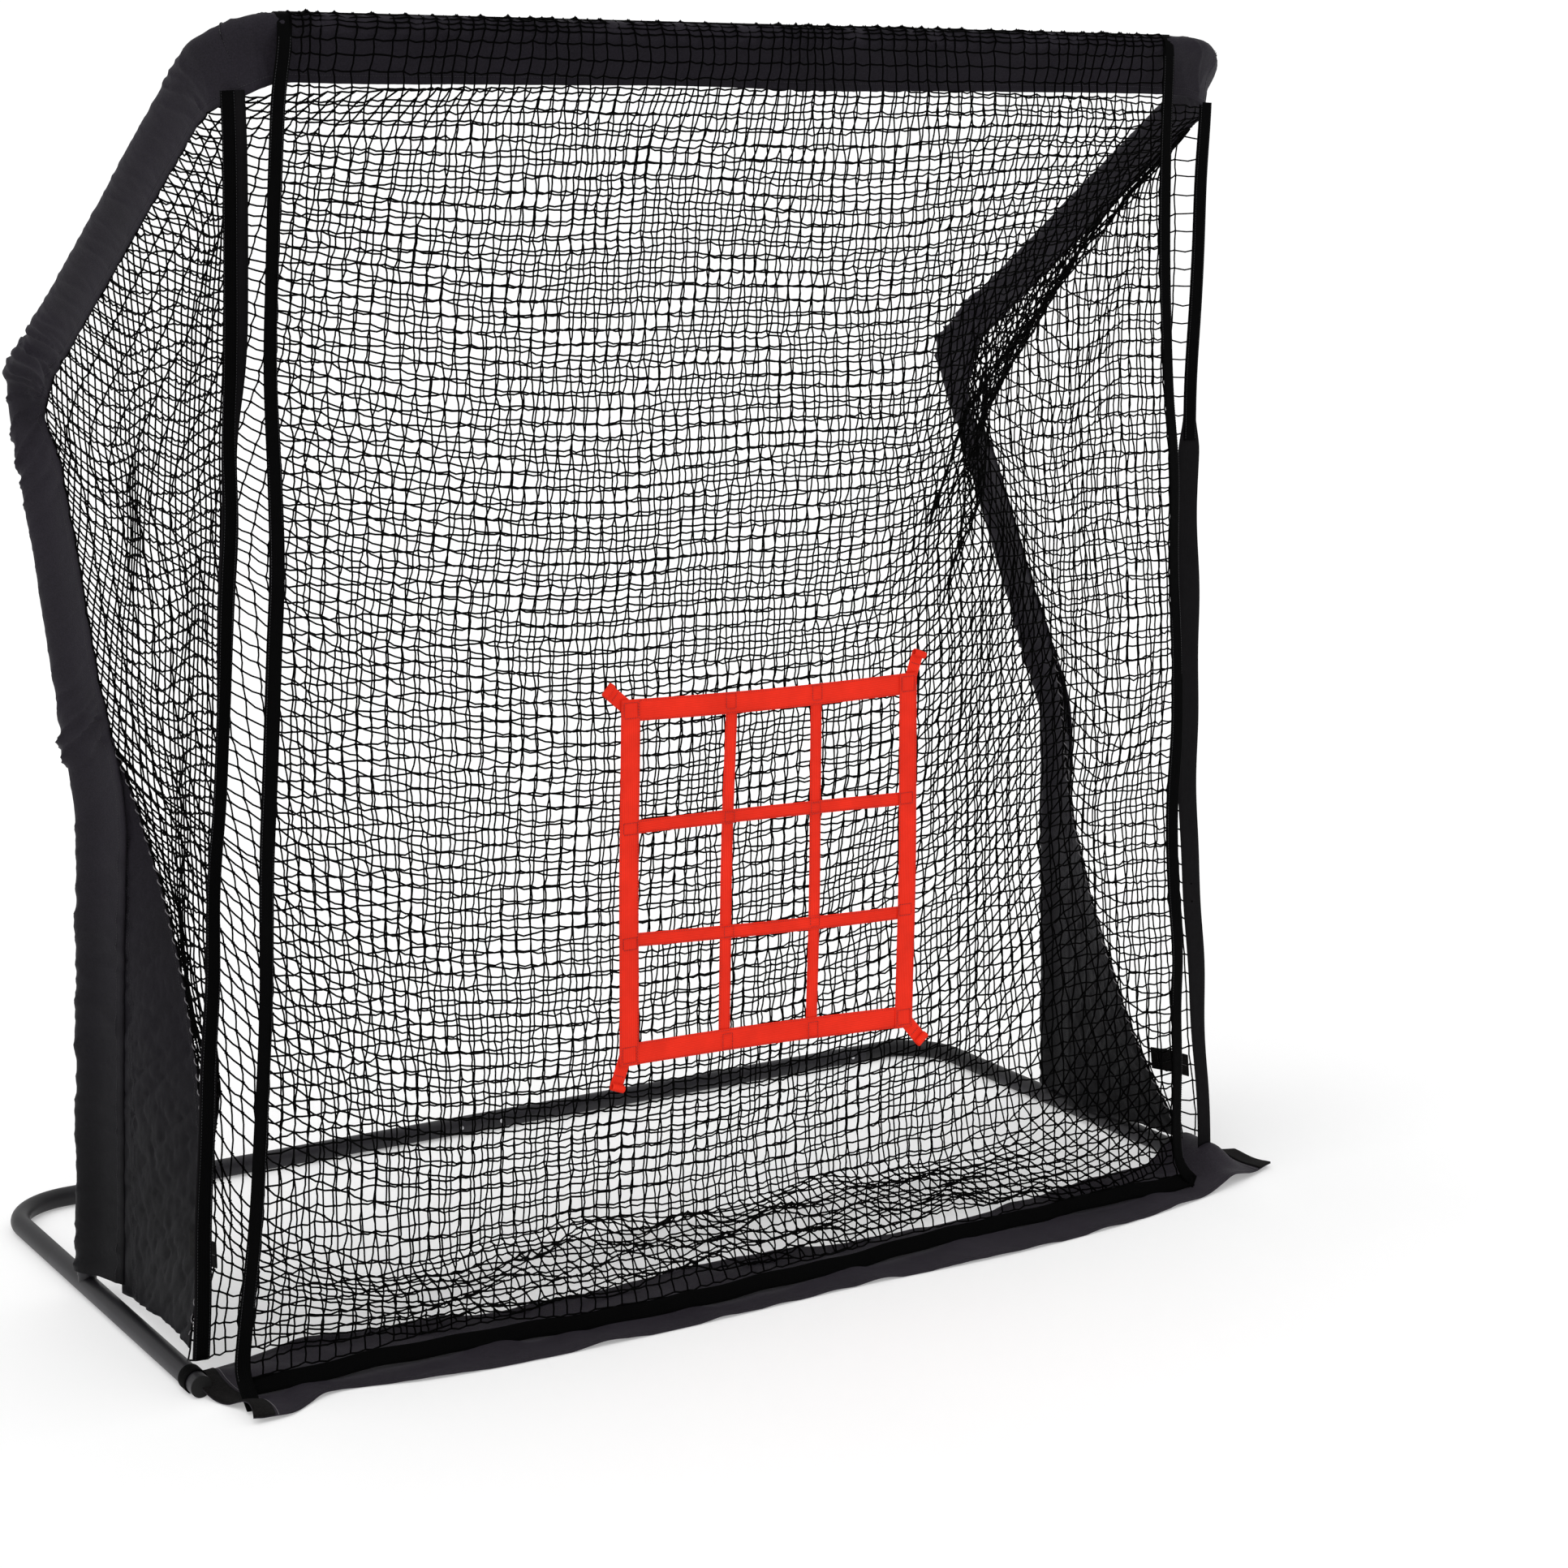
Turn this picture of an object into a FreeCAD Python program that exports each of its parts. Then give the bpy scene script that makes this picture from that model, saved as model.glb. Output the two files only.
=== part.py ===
import FreeCAD, Part
import math
import os
import Sketcher
from FreeCAD import Placement, Rotation, Vector

# Free-standing pitching target net, in millimetres. +Z is up, +Y points to the back, +X to the
# thrower's right. The origin lies on the floor, midway between the front ends of the two side legs.

DIMENSIONS = {
    # Round steel tube and the reduced ends that plug one section into the next.
    "tube_outer": 35.0,
    "tube_wall": 1.2,
    "swage_outer": 32.4,
    "swage_length": 70.0,
    "shoulder": 4.0,
    # Frame centrelines.
    "half_span": 1048.0,
    "rear_line": 1013.0,
    "rear_middle": -55.0,
    "corner_bend": 125.0,
    "leg_joint": 700.0,
    "rear_joint": 885.0,
    "post_line": 541.0,
    "post_foot": 36.0,
    "post_joint": 740.0,
    "post_kink": 830.0,
    "post_bend": 110.0,
    "knee_line": 936.0,
    "knee_height": 1582.0,
    "knee_bend": 60.0,
    "arm_joint": 180.0,
    "top_line": -43.0,
    "top_height": 2207.0,
    "top_bend": 115.0,
    "top_joint": 860.0,
    "coupler_length": 180.0,
    # Snap-button clips.
    "button_radius": 4.0,
    "button_hole": 4.05,
    "button_proud": 3.0,
    "button_setback": 35.0,
    "coupler_button": 45.0,
    "clip_width": 9.0,
    "clip_leaf": 0.8,
    "clip_length": 38.0,
    "clip_top": 14.0,
    "clip_bend": 4.0,
    "clip_spread": 8.6,
    # Plastic plugs in the leg ends.
    "cap_flange": 2.5,
    "cap_plug": 22.0,
    "cap_radius": 16.25,
    "cap_bore": 13.5,
    # Fabric sleeves round the posts, arms and top bar.
    "cloth": 1.2,
    "sleeve_radius": 22.0,
    "sleeve_flat": 45.0,
    "sleeve_reach": 106.0,
    "sleeve_edge": 4.0,
    "sleeve_foot": 46.0,
    "sleeve_corner_gap": 118.0,
    "sleeve_seam": 2.0,
    "corner_sleeve_radius": 19.5,
    "top_sleeve_radius": 21.0,
    "top_sleeve_half": 930.0,
    "top_sleeve_reach": 105.0,
    "top_sleeve_lean": 11.5,
    # Gussets between the posts and the side legs.
    "gusset_rear": 427.0,
    "gusset_top": 850.0,
    "gusset_foot": 50.0,
    "gusset_front": 88.0,
    "gusset_bulge": 78.0,
    "gusset_tip": 10.0,
    # Main net. The inner knee and kink are where the sleeves' inner edges meet the net.
    "net_sheet": 1.0,
    "inner_knee_line": 788.0,
    "inner_knee_height": 1541.0,
    "inner_kink_line": 427.0,
    "inner_kink_height": 857.0,
    "side_net_place": 1004.0,
    "side_net_foot": 56.0,
    "side_net_top": 2060.0,
    "back_net_width": 1956.0,
    "back_net_top_line": -36.0,
    "back_net_top": 2098.0,
    "back_net_heel": 335.0,
    "back_net_front": 105.0,
    "back_net_foot": 6.0,
    "back_net_bend": 70.0,
    "edge_strap_width": 46.0,
    "edge_strap_sheet": 2.4,
    "edge_strap_top": 2090.0,
    "edge_strap_top_line": -33.0,
    "edge_strap_foot": 50.0,
    "edge_strap_foot_line": 34.0,
    "loop_inner": 18.0,
    "loop_outer": 19.7,
    "loop_width": 34.0,
    "loop_front": 22.0,
    "loop_foot": 16.0,
    "tie_tab_place": 1008.0,
    "tie_tab_front": 42.0,
    "tie_tab_length": 108.0,
    "tie_tab_height": 42.0,
    "tie_tab_foot": 196.0,
    "tie_tab_sheet": 2.0,
    # Ground skirt.
    "skirt_sheet": 1.4,
    "skirt_front": -150.0,
    "skirt_depth": 245.0,
    "skirt_left": -1018.0,
    "skirt_right": 1176.0,
    "skirt_ramp": 38.9,
    "skirt_ridge": 30.0,
    "skirt_slope": 48.0,
    "skirt_bend": 12.0,
    "skirt_band": 42.0,
    # Hanging target panel, placed from the top bar's centreline.
    "panel_left": -944.0,
    "panel_right": 916.0,
    "panel_offset": 23.2,
    "panel_foot": 9.0,
    "binding_width": 28.0,
    "binding_sheet": 2.6,
    "hem_sheet": 1.6,
    "hem_drop": 40.0,
    "hem_overlap": 6.0,
    # Strike zone on the panel.
    "zone_centre": -22.0,
    "zone_foot": 430.0,
    "zone_width": 610.0,
    "zone_height": 635.0,
    "zone_frame": 38.0,
    "zone_grid": 24.0,
    "zone_sheet": 1.8,
    "zone_gap": 1.4,
    "layer_gap": 0.2,
    "tab_width": 25.0,
    "tab_length": 62.0,
    "tab_inset": 12.0,
    "tab_lean_top_left": -50.0,
    "tab_lean_top_right": 20.0,
    "tab_lean_bottom_left": -160.0,
    "tab_lean_bottom_right": 140.0,
}

SIDES = {"left": -1, "right": 1}
TOLERANCE = 1e-6

doc = FreeCAD.newDocument("PitchingTargetNet")
sheet = doc.addObject("Spreadsheet::Sheet", "Sizes")
for row, (alias, value) in enumerate(DIMENSIONS.items(), start=1):
    sheet.set(f"A{row}", alias)
    sheet.set(f"B{row}", str(value))
    sheet.setAlias(f"B{row}", alias)
doc.recompute()

nodes = []


def size(alias):
    """The value of one driving dimension."""
    return float(getattr(sheet, alias))


def keep(obj, label):
    """Registers an object as a finished sub-part under the name of its node."""
    obj.Label = label
    nodes.append(obj)
    return obj


def value_of(expression):
    """The number that an expression over the sheet gives."""
    result = sheet.evalExpression(expression)
    return float(getattr(result, "Value", result))


# ---- sketches ----------------------------------------------------------------------------------


def new_body(name):
    return doc.addObject("PartDesign::Body", name)


def new_sketch(body, plane, name="Sketch"):
    sketch = body.newObject("Sketcher::SketchObject", name)
    origin_plane = next(f for f in body.Origin.OriginFeatures if f.Role == plane)
    sketch.AttachmentSupport = (origin_plane, [""])
    sketch.MapMode = "FlatFace"
    return sketch


def bind(sketch, index, name, expression):
    """Names a constraint and ties its value to the sheet."""
    sketch.renameConstraint(index, name)
    sketch.setExpression(f"Constraints.{name}", expression)


def pin_point(sketch, geometry, corner, name, x_expression, y_expression):
    """Fixes a sketch point at two expressions measured from the sketch origin."""
    for axis, expression in (("X", x_expression), ("Y", y_expression)):
        index = sketch.addConstraint(
            Sketcher.Constraint(f"Distance{axis}", -1, 1, geometry, corner, value_of(expression))
        )
        bind(sketch, index, f"{name}{axis}", expression)


def ring(sketch, outer, inner):
    """Two circles about the sketch origin, for a tube wall; inner may be None for a solid rod."""
    for name, expression in (("outer", outer), ("inner", inner)):
        if expression is None:
            continue
        circle = sketch.addGeometry(Part.Circle(Vector(), Vector(0, 0, 1), value_of(expression)))
        sketch.addConstraint(Sketcher.Constraint("Coincident", circle, 3, -1, 1))
        index = sketch.addConstraint(Sketcher.Constraint("Radius", circle, value_of(expression)))
        bind(sketch, index, name, expression)


def outline(sketch, corners, name="corner"):
    """A closed polygon whose corners are pairs of expressions."""
    points = [Vector(value_of(x), value_of(y), 0) for x, y in corners]
    count = len(points)
    lines = [
        sketch.addGeometry(Part.LineSegment(points[i], points[(i + 1) % count])) for i in range(count)
    ]
    for i in range(count):
        sketch.addConstraint(Sketcher.Constraint("Coincident", lines[i], 2, lines[(i + 1) % count], 1))
        pin_point(sketch, lines[i], 1, f"{name}{i}", *corners[i])


def rounded_loop(sketch, name, corners, radius, crown):
    """Straight lines through the corners, closed by an arc about the origin that passes the crown."""
    points = [Vector(value_of(x), value_of(y), 0) for x, y in corners]
    lines = [sketch.addGeometry(Part.LineSegment(a, b)) for a, b in zip(points[:-1], points[1:])]
    arc = sketch.addGeometry(Part.Arc(points[-1], crown * value_of(radius), points[0]))
    starts_last = sketch.getPoint(arc, 1).isEqual(points[-1], TOLERANCE)
    first, last = (1, 2) if starts_last else (2, 1)
    for before, after in zip(lines[:-1], lines[1:]):
        sketch.addConstraint(Sketcher.Constraint("Coincident", before, 2, after, 1))
    sketch.addConstraint(Sketcher.Constraint("Coincident", lines[-1], 2, arc, first))
    sketch.addConstraint(Sketcher.Constraint("Coincident", arc, last, lines[0], 1))
    for i, line in enumerate(lines):
        pin_point(sketch, line, 1, f"{name}{i}", *corners[i])
    pin_point(sketch, lines[-1], 2, f"{name}End", *corners[-1])
    axis = "X" if abs(crown.x) > abs(crown.y) else "Y"
    sketch.addConstraint(Sketcher.Constraint(f"Distance{axis}", -1, 1, arc, 3, 0.0))


def bent_path(sketch, corners, bends):
    """An open run of lines through the corners, each inner corner rounded by its bend radius.

    A bend of None leaves that corner sharp.
    """
    points = [Vector(value_of(x), value_of(y), 0) for x, y in corners]
    radii = [0.0] + [0.0 if bend is None else value_of(bend) for bend in bends] + [0.0]
    starts, ends, arcs = [], [], []
    for i, point in enumerate(points):
        if radii[i] == 0.0:
            starts.append(point)
            ends.append(point)
            arcs.append(None)
            continue
        back = (points[i - 1] - point).normalize()
        ahead = (points[i + 1] - point).normalize()
        half_angle = back.getAngle(ahead) / 2
        setback = radii[i] / math.tan(half_angle)
        entry, leave = point + back * setback, point + ahead * setback
        bisector = (back + ahead).normalize()
        centre = point + bisector * (radii[i] / math.sin(half_angle))
        middle = centre - bisector * radii[i]
        starts.append(leave)
        ends.append(entry)
        arcs.append(Part.Arc(entry, middle, leave))
    lines = [
        sketch.addGeometry(Part.LineSegment(starts[i], ends[i + 1])) for i in range(len(points) - 1)
    ]
    for i in range(1, len(points) - 1):
        before, after = lines[i - 1], lines[i]
        if arcs[i] is None:
            sketch.addConstraint(Sketcher.Constraint("Coincident", before, 2, after, 1))
            pin_point(sketch, after, 1, f"corner{i}", *corners[i])
            continue
        arc = sketch.addGeometry(arcs[i])
        turns_left = (points[i] - points[i - 1]).cross(points[i + 1] - points[i]).z > 0
        first, last = (1, 2) if turns_left else (2, 1)
        sketch.addConstraint(Sketcher.Constraint("Tangent", before, 2, arc, first))
        sketch.addConstraint(Sketcher.Constraint("Tangent", arc, last, after, 1))
        index = sketch.addConstraint(Sketcher.Constraint("Radius", arc, radii[i]))
        bind(sketch, index, f"bend{i}", bends[i - 1])
        vertex = sketch.addGeometry(Part.Point(points[i]), True)
        sketch.addConstraint(Sketcher.Constraint("PointOnObject", vertex, 1, before))
        sketch.addConstraint(Sketcher.Constraint("PointOnObject", vertex, 1, after))
        pin_point(sketch, vertex, 1, f"corner{i}", *corners[i])
    pin_point(sketch, lines[0], 1, "start", *corners[0])
    pin_point(sketch, lines[-1], 2, "finish", *corners[-1])


# ---- solid features ----------------------------------------------------------------------------


def pad(body, sketch, length, reverse=False, both_ways=False):
    feature = body.newObject("PartDesign::Pad", "Pad")
    feature.Profile = sketch
    feature.setExpression("Length", length)
    feature.Reversed = reverse
    if both_ways:
        feature.Midplane = True
    return feature


def sweep(body, profile, path, mitred=False):
    feature = body.newObject("PartDesign::AdditivePipe", "Sweep")
    feature.Profile = profile
    feature.Spine = path
    if mitred:
        feature.Transition = "Right corner"
    return feature


def pocket_through(body, sketch):
    feature = body.newObject("PartDesign::Pocket", "Pocket")
    feature.Profile = sketch
    feature.Type = "ThroughAll"
    feature.Midplane = True
    return feature


def put(obj, expressions, rotation=Rotation()):
    """Places an object's own frame at a point given by expressions, turned by a rotation."""
    obj.Placement = Placement(Vector(), rotation)
    for axis, expression in zip("xyz", expressions):
        obj.setExpression(f"Placement.Base.{axis}", expression)
    return obj


def shift_sketch(sketch, expressions):
    """Moves a sketch off its plane's origin, in the plane's own axes."""
    for axis, expression in zip("xyz", expressions):
        sketch.setExpression(f"AttachmentOffset.Base.{axis}", expression)


def box(name, corner, edges, rotation=Rotation()):
    """A block: its corner and its three edge lengths are expressions."""
    block = doc.addObject("Part::Box", name)
    for side, expression in zip(("Length", "Width", "Height"), edges):
        block.setExpression(side, expression)
    return put(block, corner, rotation)


def cut_with(base, tools):
    """Cuts the tools from a base shape in a single feature."""
    tool = tools[0]
    if len(tools) > 1:
        tool = doc.addObject("Part::MultiFuse", f"{base.Name}Tools")
        tool.Shapes = tools
    cut = doc.addObject("Part::Cut", f"{base.Name}Cut")
    cut.Base = base
    cut.Tool = tool
    return cut


def group(name, pieces):
    """Separate identical pieces kept as one sub-part."""
    compound = doc.addObject("Part::Compound", name)
    compound.Links = pieces
    return compound


# ---- tube sections -----------------------------------------------------------------------------

TUBE_OUT = "Sizes.tube_outer / 2"
TUBE_IN = "Sizes.tube_outer / 2 - Sizes.tube_wall"
SWAGE_OUT = "Sizes.swage_outer / 2"
SWAGE_IN = "Sizes.swage_outer / 2 - Sizes.tube_wall"
ARM_RISE = "(Sizes.top_height - Sizes.knee_height)"
ARM_RUN = "(Sizes.knee_line - Sizes.top_line)"
ARM_LENGTH = f"sqrt({ARM_RISE} * {ARM_RISE} + {ARM_RUN} * {ARM_RUN})"
ARM_SLOPE = math.degrees(math.atan2(value_of(ARM_RISE), value_of(ARM_RUN)))

# How a body's own frame lies in the net's frame.
Z_UP = Rotation()
Z_TO_BACK = Rotation(Vector(1, 0, 0), -90)
Z_TO_RIGHT = Rotation(Vector(0, 1, 0), 90)
Z_TO_LEFT = Rotation(Vector(0, 1, 0), -90)
X_TO_BACK = Rotation(Vector(0, 0, 1), 90)
X_UP_Y_TO_FRONT = Rotation(Vector(0, 0, 1), Vector(0, -1, 0), Vector(1, 0, 0), "ZXY")
X_BACK_Y_UP = Rotation(Vector(0, 1, 0), Vector(0, 0, 1), Vector(1, 0, 0), "ZXY")
Y_UP = Rotation(Vector(1, 0, 0), 90)
ALONG_ARM = Rotation(Vector(1, 0, 0), -ARM_SLOPE)

UP = Vector(0, 0, 1)
DOWN = Vector(0, 0, -1)
FRONT = Vector(0, -1, 0)
BACK = Vector(0, 1, 0)
RIGHT = Vector(1, 0, 0)
UNDER_ARM = ALONG_ARM.multVec(DOWN)
UP_THE_ARM = ALONG_ARM.multVec(FRONT)


def straight_tube(name, length, start_swage=False):
    """A tube along its body's +Z from the origin; a swaged end reaches back along -Z."""
    body = new_body(name)
    wall = new_sketch(body, "XY_Plane")
    ring(wall, TUBE_OUT, TUBE_IN)
    pad(body, wall, length)
    if start_swage:
        add_swage(body, "XY_Plane")
    return body


def add_swage(body, plane, forwards=False, offset=None):
    """A reduced end, joined to the full tube by a solid shoulder just inside the tube's mouth."""
    for outer, length, ahead in (
        (SWAGE_OUT, "Sizes.swage_length", forwards),
        (TUBE_OUT, "Sizes.shoulder", not forwards),
    ):
        wall = new_sketch(body, plane)
        ring(wall, outer, SWAGE_IN)
        if offset is not None:
            shift_sketch(wall, offset)
        pad(body, wall, length, reverse=not ahead)


def bent_tube(name, corners, bends, outer=TUBE_OUT, inner=TUBE_IN):
    """A tube that leaves its body's origin along X and bends in the body's XY plane."""
    body = new_body(name)
    path = new_sketch(body, "XY_Plane", "Path")
    bent_path(path, corners, bends)
    wall = new_sketch(body, "YZ_Plane")
    ring(wall, outer, inner)
    sweep(body, wall, path)
    return body


def button_places():
    """Each snap button: its point on the tube's centreline, the way it faces, the way its spring runs."""
    places = {}
    setback = "Sizes.button_setback"
    along = f"(Sizes.arm_joint - {setback}) / {ARM_LENGTH}"
    for side, sign in SIDES.items():
        span = f"{sign} * Sizes.half_span"
        inwards = RIGHT * -sign
        places[f"leg_{side}"] = (
            (span, f"Sizes.leg_joint - {setback}", TUBE_OUT),
            RIGHT,
            BACK,
        )
        places[f"rear_{side}"] = (
            (f"{sign} * (Sizes.rear_joint - {setback})", "Sizes.rear_line", TUBE_OUT),
            FRONT,
            inwards * -1,
        )
        places[f"rear_middle_{side}"] = (
            (f"Sizes.rear_middle + {sign} * Sizes.coupler_button", "Sizes.rear_line", TUBE_OUT),
            FRONT,
            inwards,
        )
        places[f"post_foot_{side}"] = (
            (span, "Sizes.post_line", f"Sizes.post_foot + {setback}"),
            FRONT,
            UP,
        )
        places[f"post_top_{side}"] = (
            (span, "Sizes.post_line", f"Sizes.post_joint - {setback}"),
            FRONT,
            UP,
        )
        places[f"arm_{side}"] = (
            (
                span,
                f"Sizes.knee_line - {ARM_RUN} * {along}",
                f"Sizes.knee_height + {ARM_RISE} * {along}",
            ),
            UNDER_ARM,
            UP_THE_ARM,
        )
        places[f"top_{side}"] = (
            (f"{sign} * (Sizes.top_joint + {setback})", "Sizes.top_line", "Sizes.top_height"),
            DOWN,
            inwards,
        )
        places[f"top_middle_{side}"] = (
            (f"{sign} * Sizes.coupler_button", "Sizes.top_line", "Sizes.top_height"),
            DOWN,
            inwards,
        )
    return places


BUTTONS = button_places()


def drilled(body, label, buttons):
    """The finished tube, with a hole through one wall for each snap button."""
    drills = []
    for button in buttons:
        centre, direction, _ = BUTTONS[button]
        rod = doc.addObject("Part::Cylinder", f"Drill_{body.Name}_{button}")
        rod.setExpression("Radius", "Sizes.button_hole")
        rod.setExpression("Height", "Sizes.tube_outer")
        put(rod, centre, Rotation(UP, direction))
        drills.append(rod)
    keep(cut_with(body, drills), label)


def side_leg(side, sign):
    """Floor tube that runs back from the front, with a stub welded on top for the post."""
    span = f"{sign} * Sizes.half_span"
    leg = straight_tube(f"Leg_{side}", "Sizes.leg_joint - Sizes.cap_flange")
    put(leg, (span, "Sizes.cap_flange", TUBE_OUT), Z_TO_BACK)
    stub = new_body(f"Stub_{side}")
    wall = new_sketch(stub, "XY_Plane")
    ring(wall, SWAGE_OUT, SWAGE_IN)
    pad(stub, wall, f"Sizes.post_foot + Sizes.swage_length - {TUBE_OUT}")
    put(stub, (span, "Sizes.post_line", TUBE_OUT))
    bore = doc.addObject("Part::Cylinder", f"LegBore_{side}")
    bore.setExpression("Radius", TUBE_IN)
    bore.setExpression("Height", "Sizes.leg_joint")
    put(bore, (span, "0", TUBE_OUT), Z_TO_BACK)
    welded = doc.addObject("Part::MultiFuse", f"WeldedLeg_{side}")
    welded.Shapes = [leg, cut_with(stub, [bore])]
    drilled(welded, f"side_leg_{side}", [f"leg_{side}", f"post_foot_{side}"])


def base_corner(side, sign):
    """Rounded rear corner of the base, swaged at both ends."""
    reach = "(Sizes.rear_line - Sizes.leg_joint)"
    inwards = f"{sign} * (Sizes.half_span - Sizes.rear_joint)"
    corners = [("0", "0"), (reach, "0"), (reach, inwards)]
    body = bent_tube(f"Corner_{side}", corners, ["Sizes.corner_bend"])
    add_swage(body, "YZ_Plane")
    add_swage(body, "XZ_Plane", forwards=sign < 0, offset=(reach, "0", f"-({inwards})"))
    put(body, (f"{sign} * Sizes.half_span", "Sizes.leg_joint", TUBE_OUT), X_TO_BACK)
    drilled(body, f"base_corner_{side}", [f"leg_{side}", f"rear_{side}"])


def rear_tube(side, sign):
    """One half of the rear floor bar."""
    body = straight_tube(f"Rear_{side}", f"Sizes.rear_joint - {sign} * Sizes.rear_middle")
    rotation = Z_TO_LEFT if sign > 0 else Z_TO_RIGHT
    put(body, (f"{sign} * Sizes.rear_joint", "Sizes.rear_line", TUBE_OUT), rotation)
    drilled(body, f"rear_tube_{side}", [f"rear_{side}", f"rear_middle_{side}"])


def coupler(label, centre):
    """Reduced tube inside the butt joint of two sections, in the rear bar or the top bar."""
    body = new_body(f"Coupler_{label}")
    wall = new_sketch(body, "XY_Plane")
    ring(wall, SWAGE_OUT, SWAGE_IN)
    pad(body, wall, "Sizes.coupler_length", both_ways=True)
    put(body, centre, Z_TO_RIGHT)
    drilled(body, f"{label}_coupler", [f"{label}_middle_{side}" for side in SIDES])


def lower_post(side, sign):
    """Upright that stands over the stub on the leg."""
    body = straight_tube(f"Post_{side}", "Sizes.post_joint - Sizes.post_foot")
    put(body, (f"{sign} * Sizes.half_span", "Sizes.post_line", "Sizes.post_foot"))
    drilled(body, f"lower_post_{side}", [f"post_foot_{side}", f"post_top_{side}"])


def knee_tube(side, sign):
    """Leans back from the post to the knee and turns forwards into the arm."""
    rise = "Sizes.knee_height - Sizes.post_joint"
    run = "Sizes.post_line - Sizes.knee_line"
    past_knee = f"Sizes.arm_joint / {ARM_LENGTH}"
    end = (f"{rise} + {ARM_RISE} * {past_knee}", f"{run} + {ARM_RUN} * {past_knee}")
    corners = [("0", "0"), ("Sizes.post_kink - Sizes.post_joint", "0"), (rise, run), end]
    body = bent_tube(f"Knee_{side}", corners, ["Sizes.post_bend", "Sizes.knee_bend"])
    add_swage(body, "YZ_Plane")
    put(body, (f"{sign} * Sizes.half_span", "Sizes.post_line", "Sizes.post_joint"), X_UP_Y_TO_FRONT)
    drilled(body, f"knee_tube_{side}", [f"post_top_{side}", f"arm_{side}"])


def upper_arm(side, sign):
    """Runs down and back from the top corner to the joint above the knee."""
    across = f"{sign} * (Sizes.half_span - Sizes.top_joint)"
    down = f"({ARM_LENGTH} - Sizes.arm_joint)"
    corners = [("0", "0"), (across, "0"), (across, down)]
    body = bent_tube(f"Arm_{side}", corners, ["Sizes.top_bend"])
    add_swage(body, "XZ_Plane", offset=(across, "0", f"-{down}"))
    put(body, (f"{sign} * Sizes.top_joint", "Sizes.top_line", "Sizes.top_height"), ALONG_ARM)
    drilled(body, f"upper_arm_{side}", [f"arm_{side}", f"top_{side}"])


def top_bar(side, sign):
    """One half of the top bar, swaged into the arm's corner."""
    body = straight_tube(f"TopBar_{side}", "Sizes.top_joint", start_swage=True)
    rotation = Z_TO_LEFT if sign > 0 else Z_TO_RIGHT
    put(body, (f"{sign} * Sizes.top_joint", "Sizes.top_line", "Sizes.top_height"), rotation)
    drilled(body, f"top_bar_{side}", [f"top_{side}", f"top_middle_{side}"])


def leg_caps():
    """Plastic plugs in the front ends of the side legs."""
    plugs = []
    for side, sign in SIDES.items():
        body = new_body(f"Cap_{side}")
        flange = new_sketch(body, "XY_Plane")
        ring(flange, TUBE_OUT, None)
        pad(body, flange, "Sizes.cap_flange")
        plug = new_sketch(body, "XY_Plane")
        ring(plug, "Sizes.cap_radius", "Sizes.cap_bore")
        shift_sketch(plug, ("0", "0", "Sizes.cap_flange"))
        pad(body, plug, "Sizes.cap_plug")
        put(body, (f"{sign} * Sizes.half_span", "0", TUBE_OUT), Z_TO_BACK)
        plugs.append(body)
    keep(group("LegCaps", plugs), "leg_caps")


# ---- snap-button clips -------------------------------------------------------------------------


def snap_clip(name, centre, outwards, along):
    """Snap button on its V-shaped leaf spring: +Z is out through the tube wall, +X along the tube."""
    body = new_body(f"Clip_{name}")
    tail, end = "-1.5 * Sizes.button_radius", "Sizes.clip_length"
    top, leaf = "Sizes.clip_top", "Sizes.clip_leaf"
    turn, low = f"{top} - Sizes.clip_bend", "-Sizes.clip_spread"
    spring = new_sketch(body, "XZ_Plane")
    outline(
        spring,
        [
            (tail, top),
            (end, top),
            (end, turn),
            (tail, low),
            (tail, f"{low} + {leaf}"),
            (f"{end} - {leaf}", turn),
            (f"{end} - {leaf}", f"{top} - {leaf}"),
            (tail, f"{top} - {leaf}"),
        ],
    )
    pad(body, spring, "Sizes.clip_width", both_ways=True)
    stud = new_sketch(body, "XY_Plane")
    ring(stud, "Sizes.button_radius", None)
    shift_sketch(stud, ("0", "0", f"{top} - {leaf}"))
    pad(body, stud, f"{TUBE_OUT} + Sizes.button_proud - {top} + {leaf}")
    doc.recompute()
    dome_button(body)
    put(body, centre, Rotation(along, outwards.cross(along), outwards, "ZXY"))
    keep(body, f"snap_clip_{name}")


def dome_button(body):
    """Rounds the button's outer edge into a dome."""
    tip = value_of(f"{TUBE_OUT} + Sizes.button_proud")
    edges = [
        f"Edge{i}"
        for i, edge in enumerate(body.Shape.Edges, start=1)
        if abs(edge.BoundBox.ZMin - tip) < TOLERANCE
    ]
    button = body.Tip
    dome = body.newObject("PartDesign::Fillet", "Dome")
    dome.Base = (button, edges)
    dome.setExpression("Radius", "Sizes.button_proud * 0.9")


# ---- sleeves and gussets -----------------------------------------------------------------------


def sleeve_profile(sketch, name, inset):
    """Flattened fabric tube: round over the steel, flat-sided, then tapering to its inner edge."""
    radius = f"(Sizes.sleeve_radius - {inset})"
    edge = f"(Sizes.sleeve_edge - {inset})"
    reach = f"(Sizes.sleeve_reach - {inset})"
    corners = [
        ("0", radius),
        ("Sizes.sleeve_flat", radius),
        (reach, edge),
        (reach, f"-{edge}"),
        ("Sizes.sleeve_flat", f"-{radius}"),
        ("0", f"-{radius}"),
    ]
    rounded_loop(sketch, name, corners, radius, Vector(-1, 0, 0))


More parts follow.
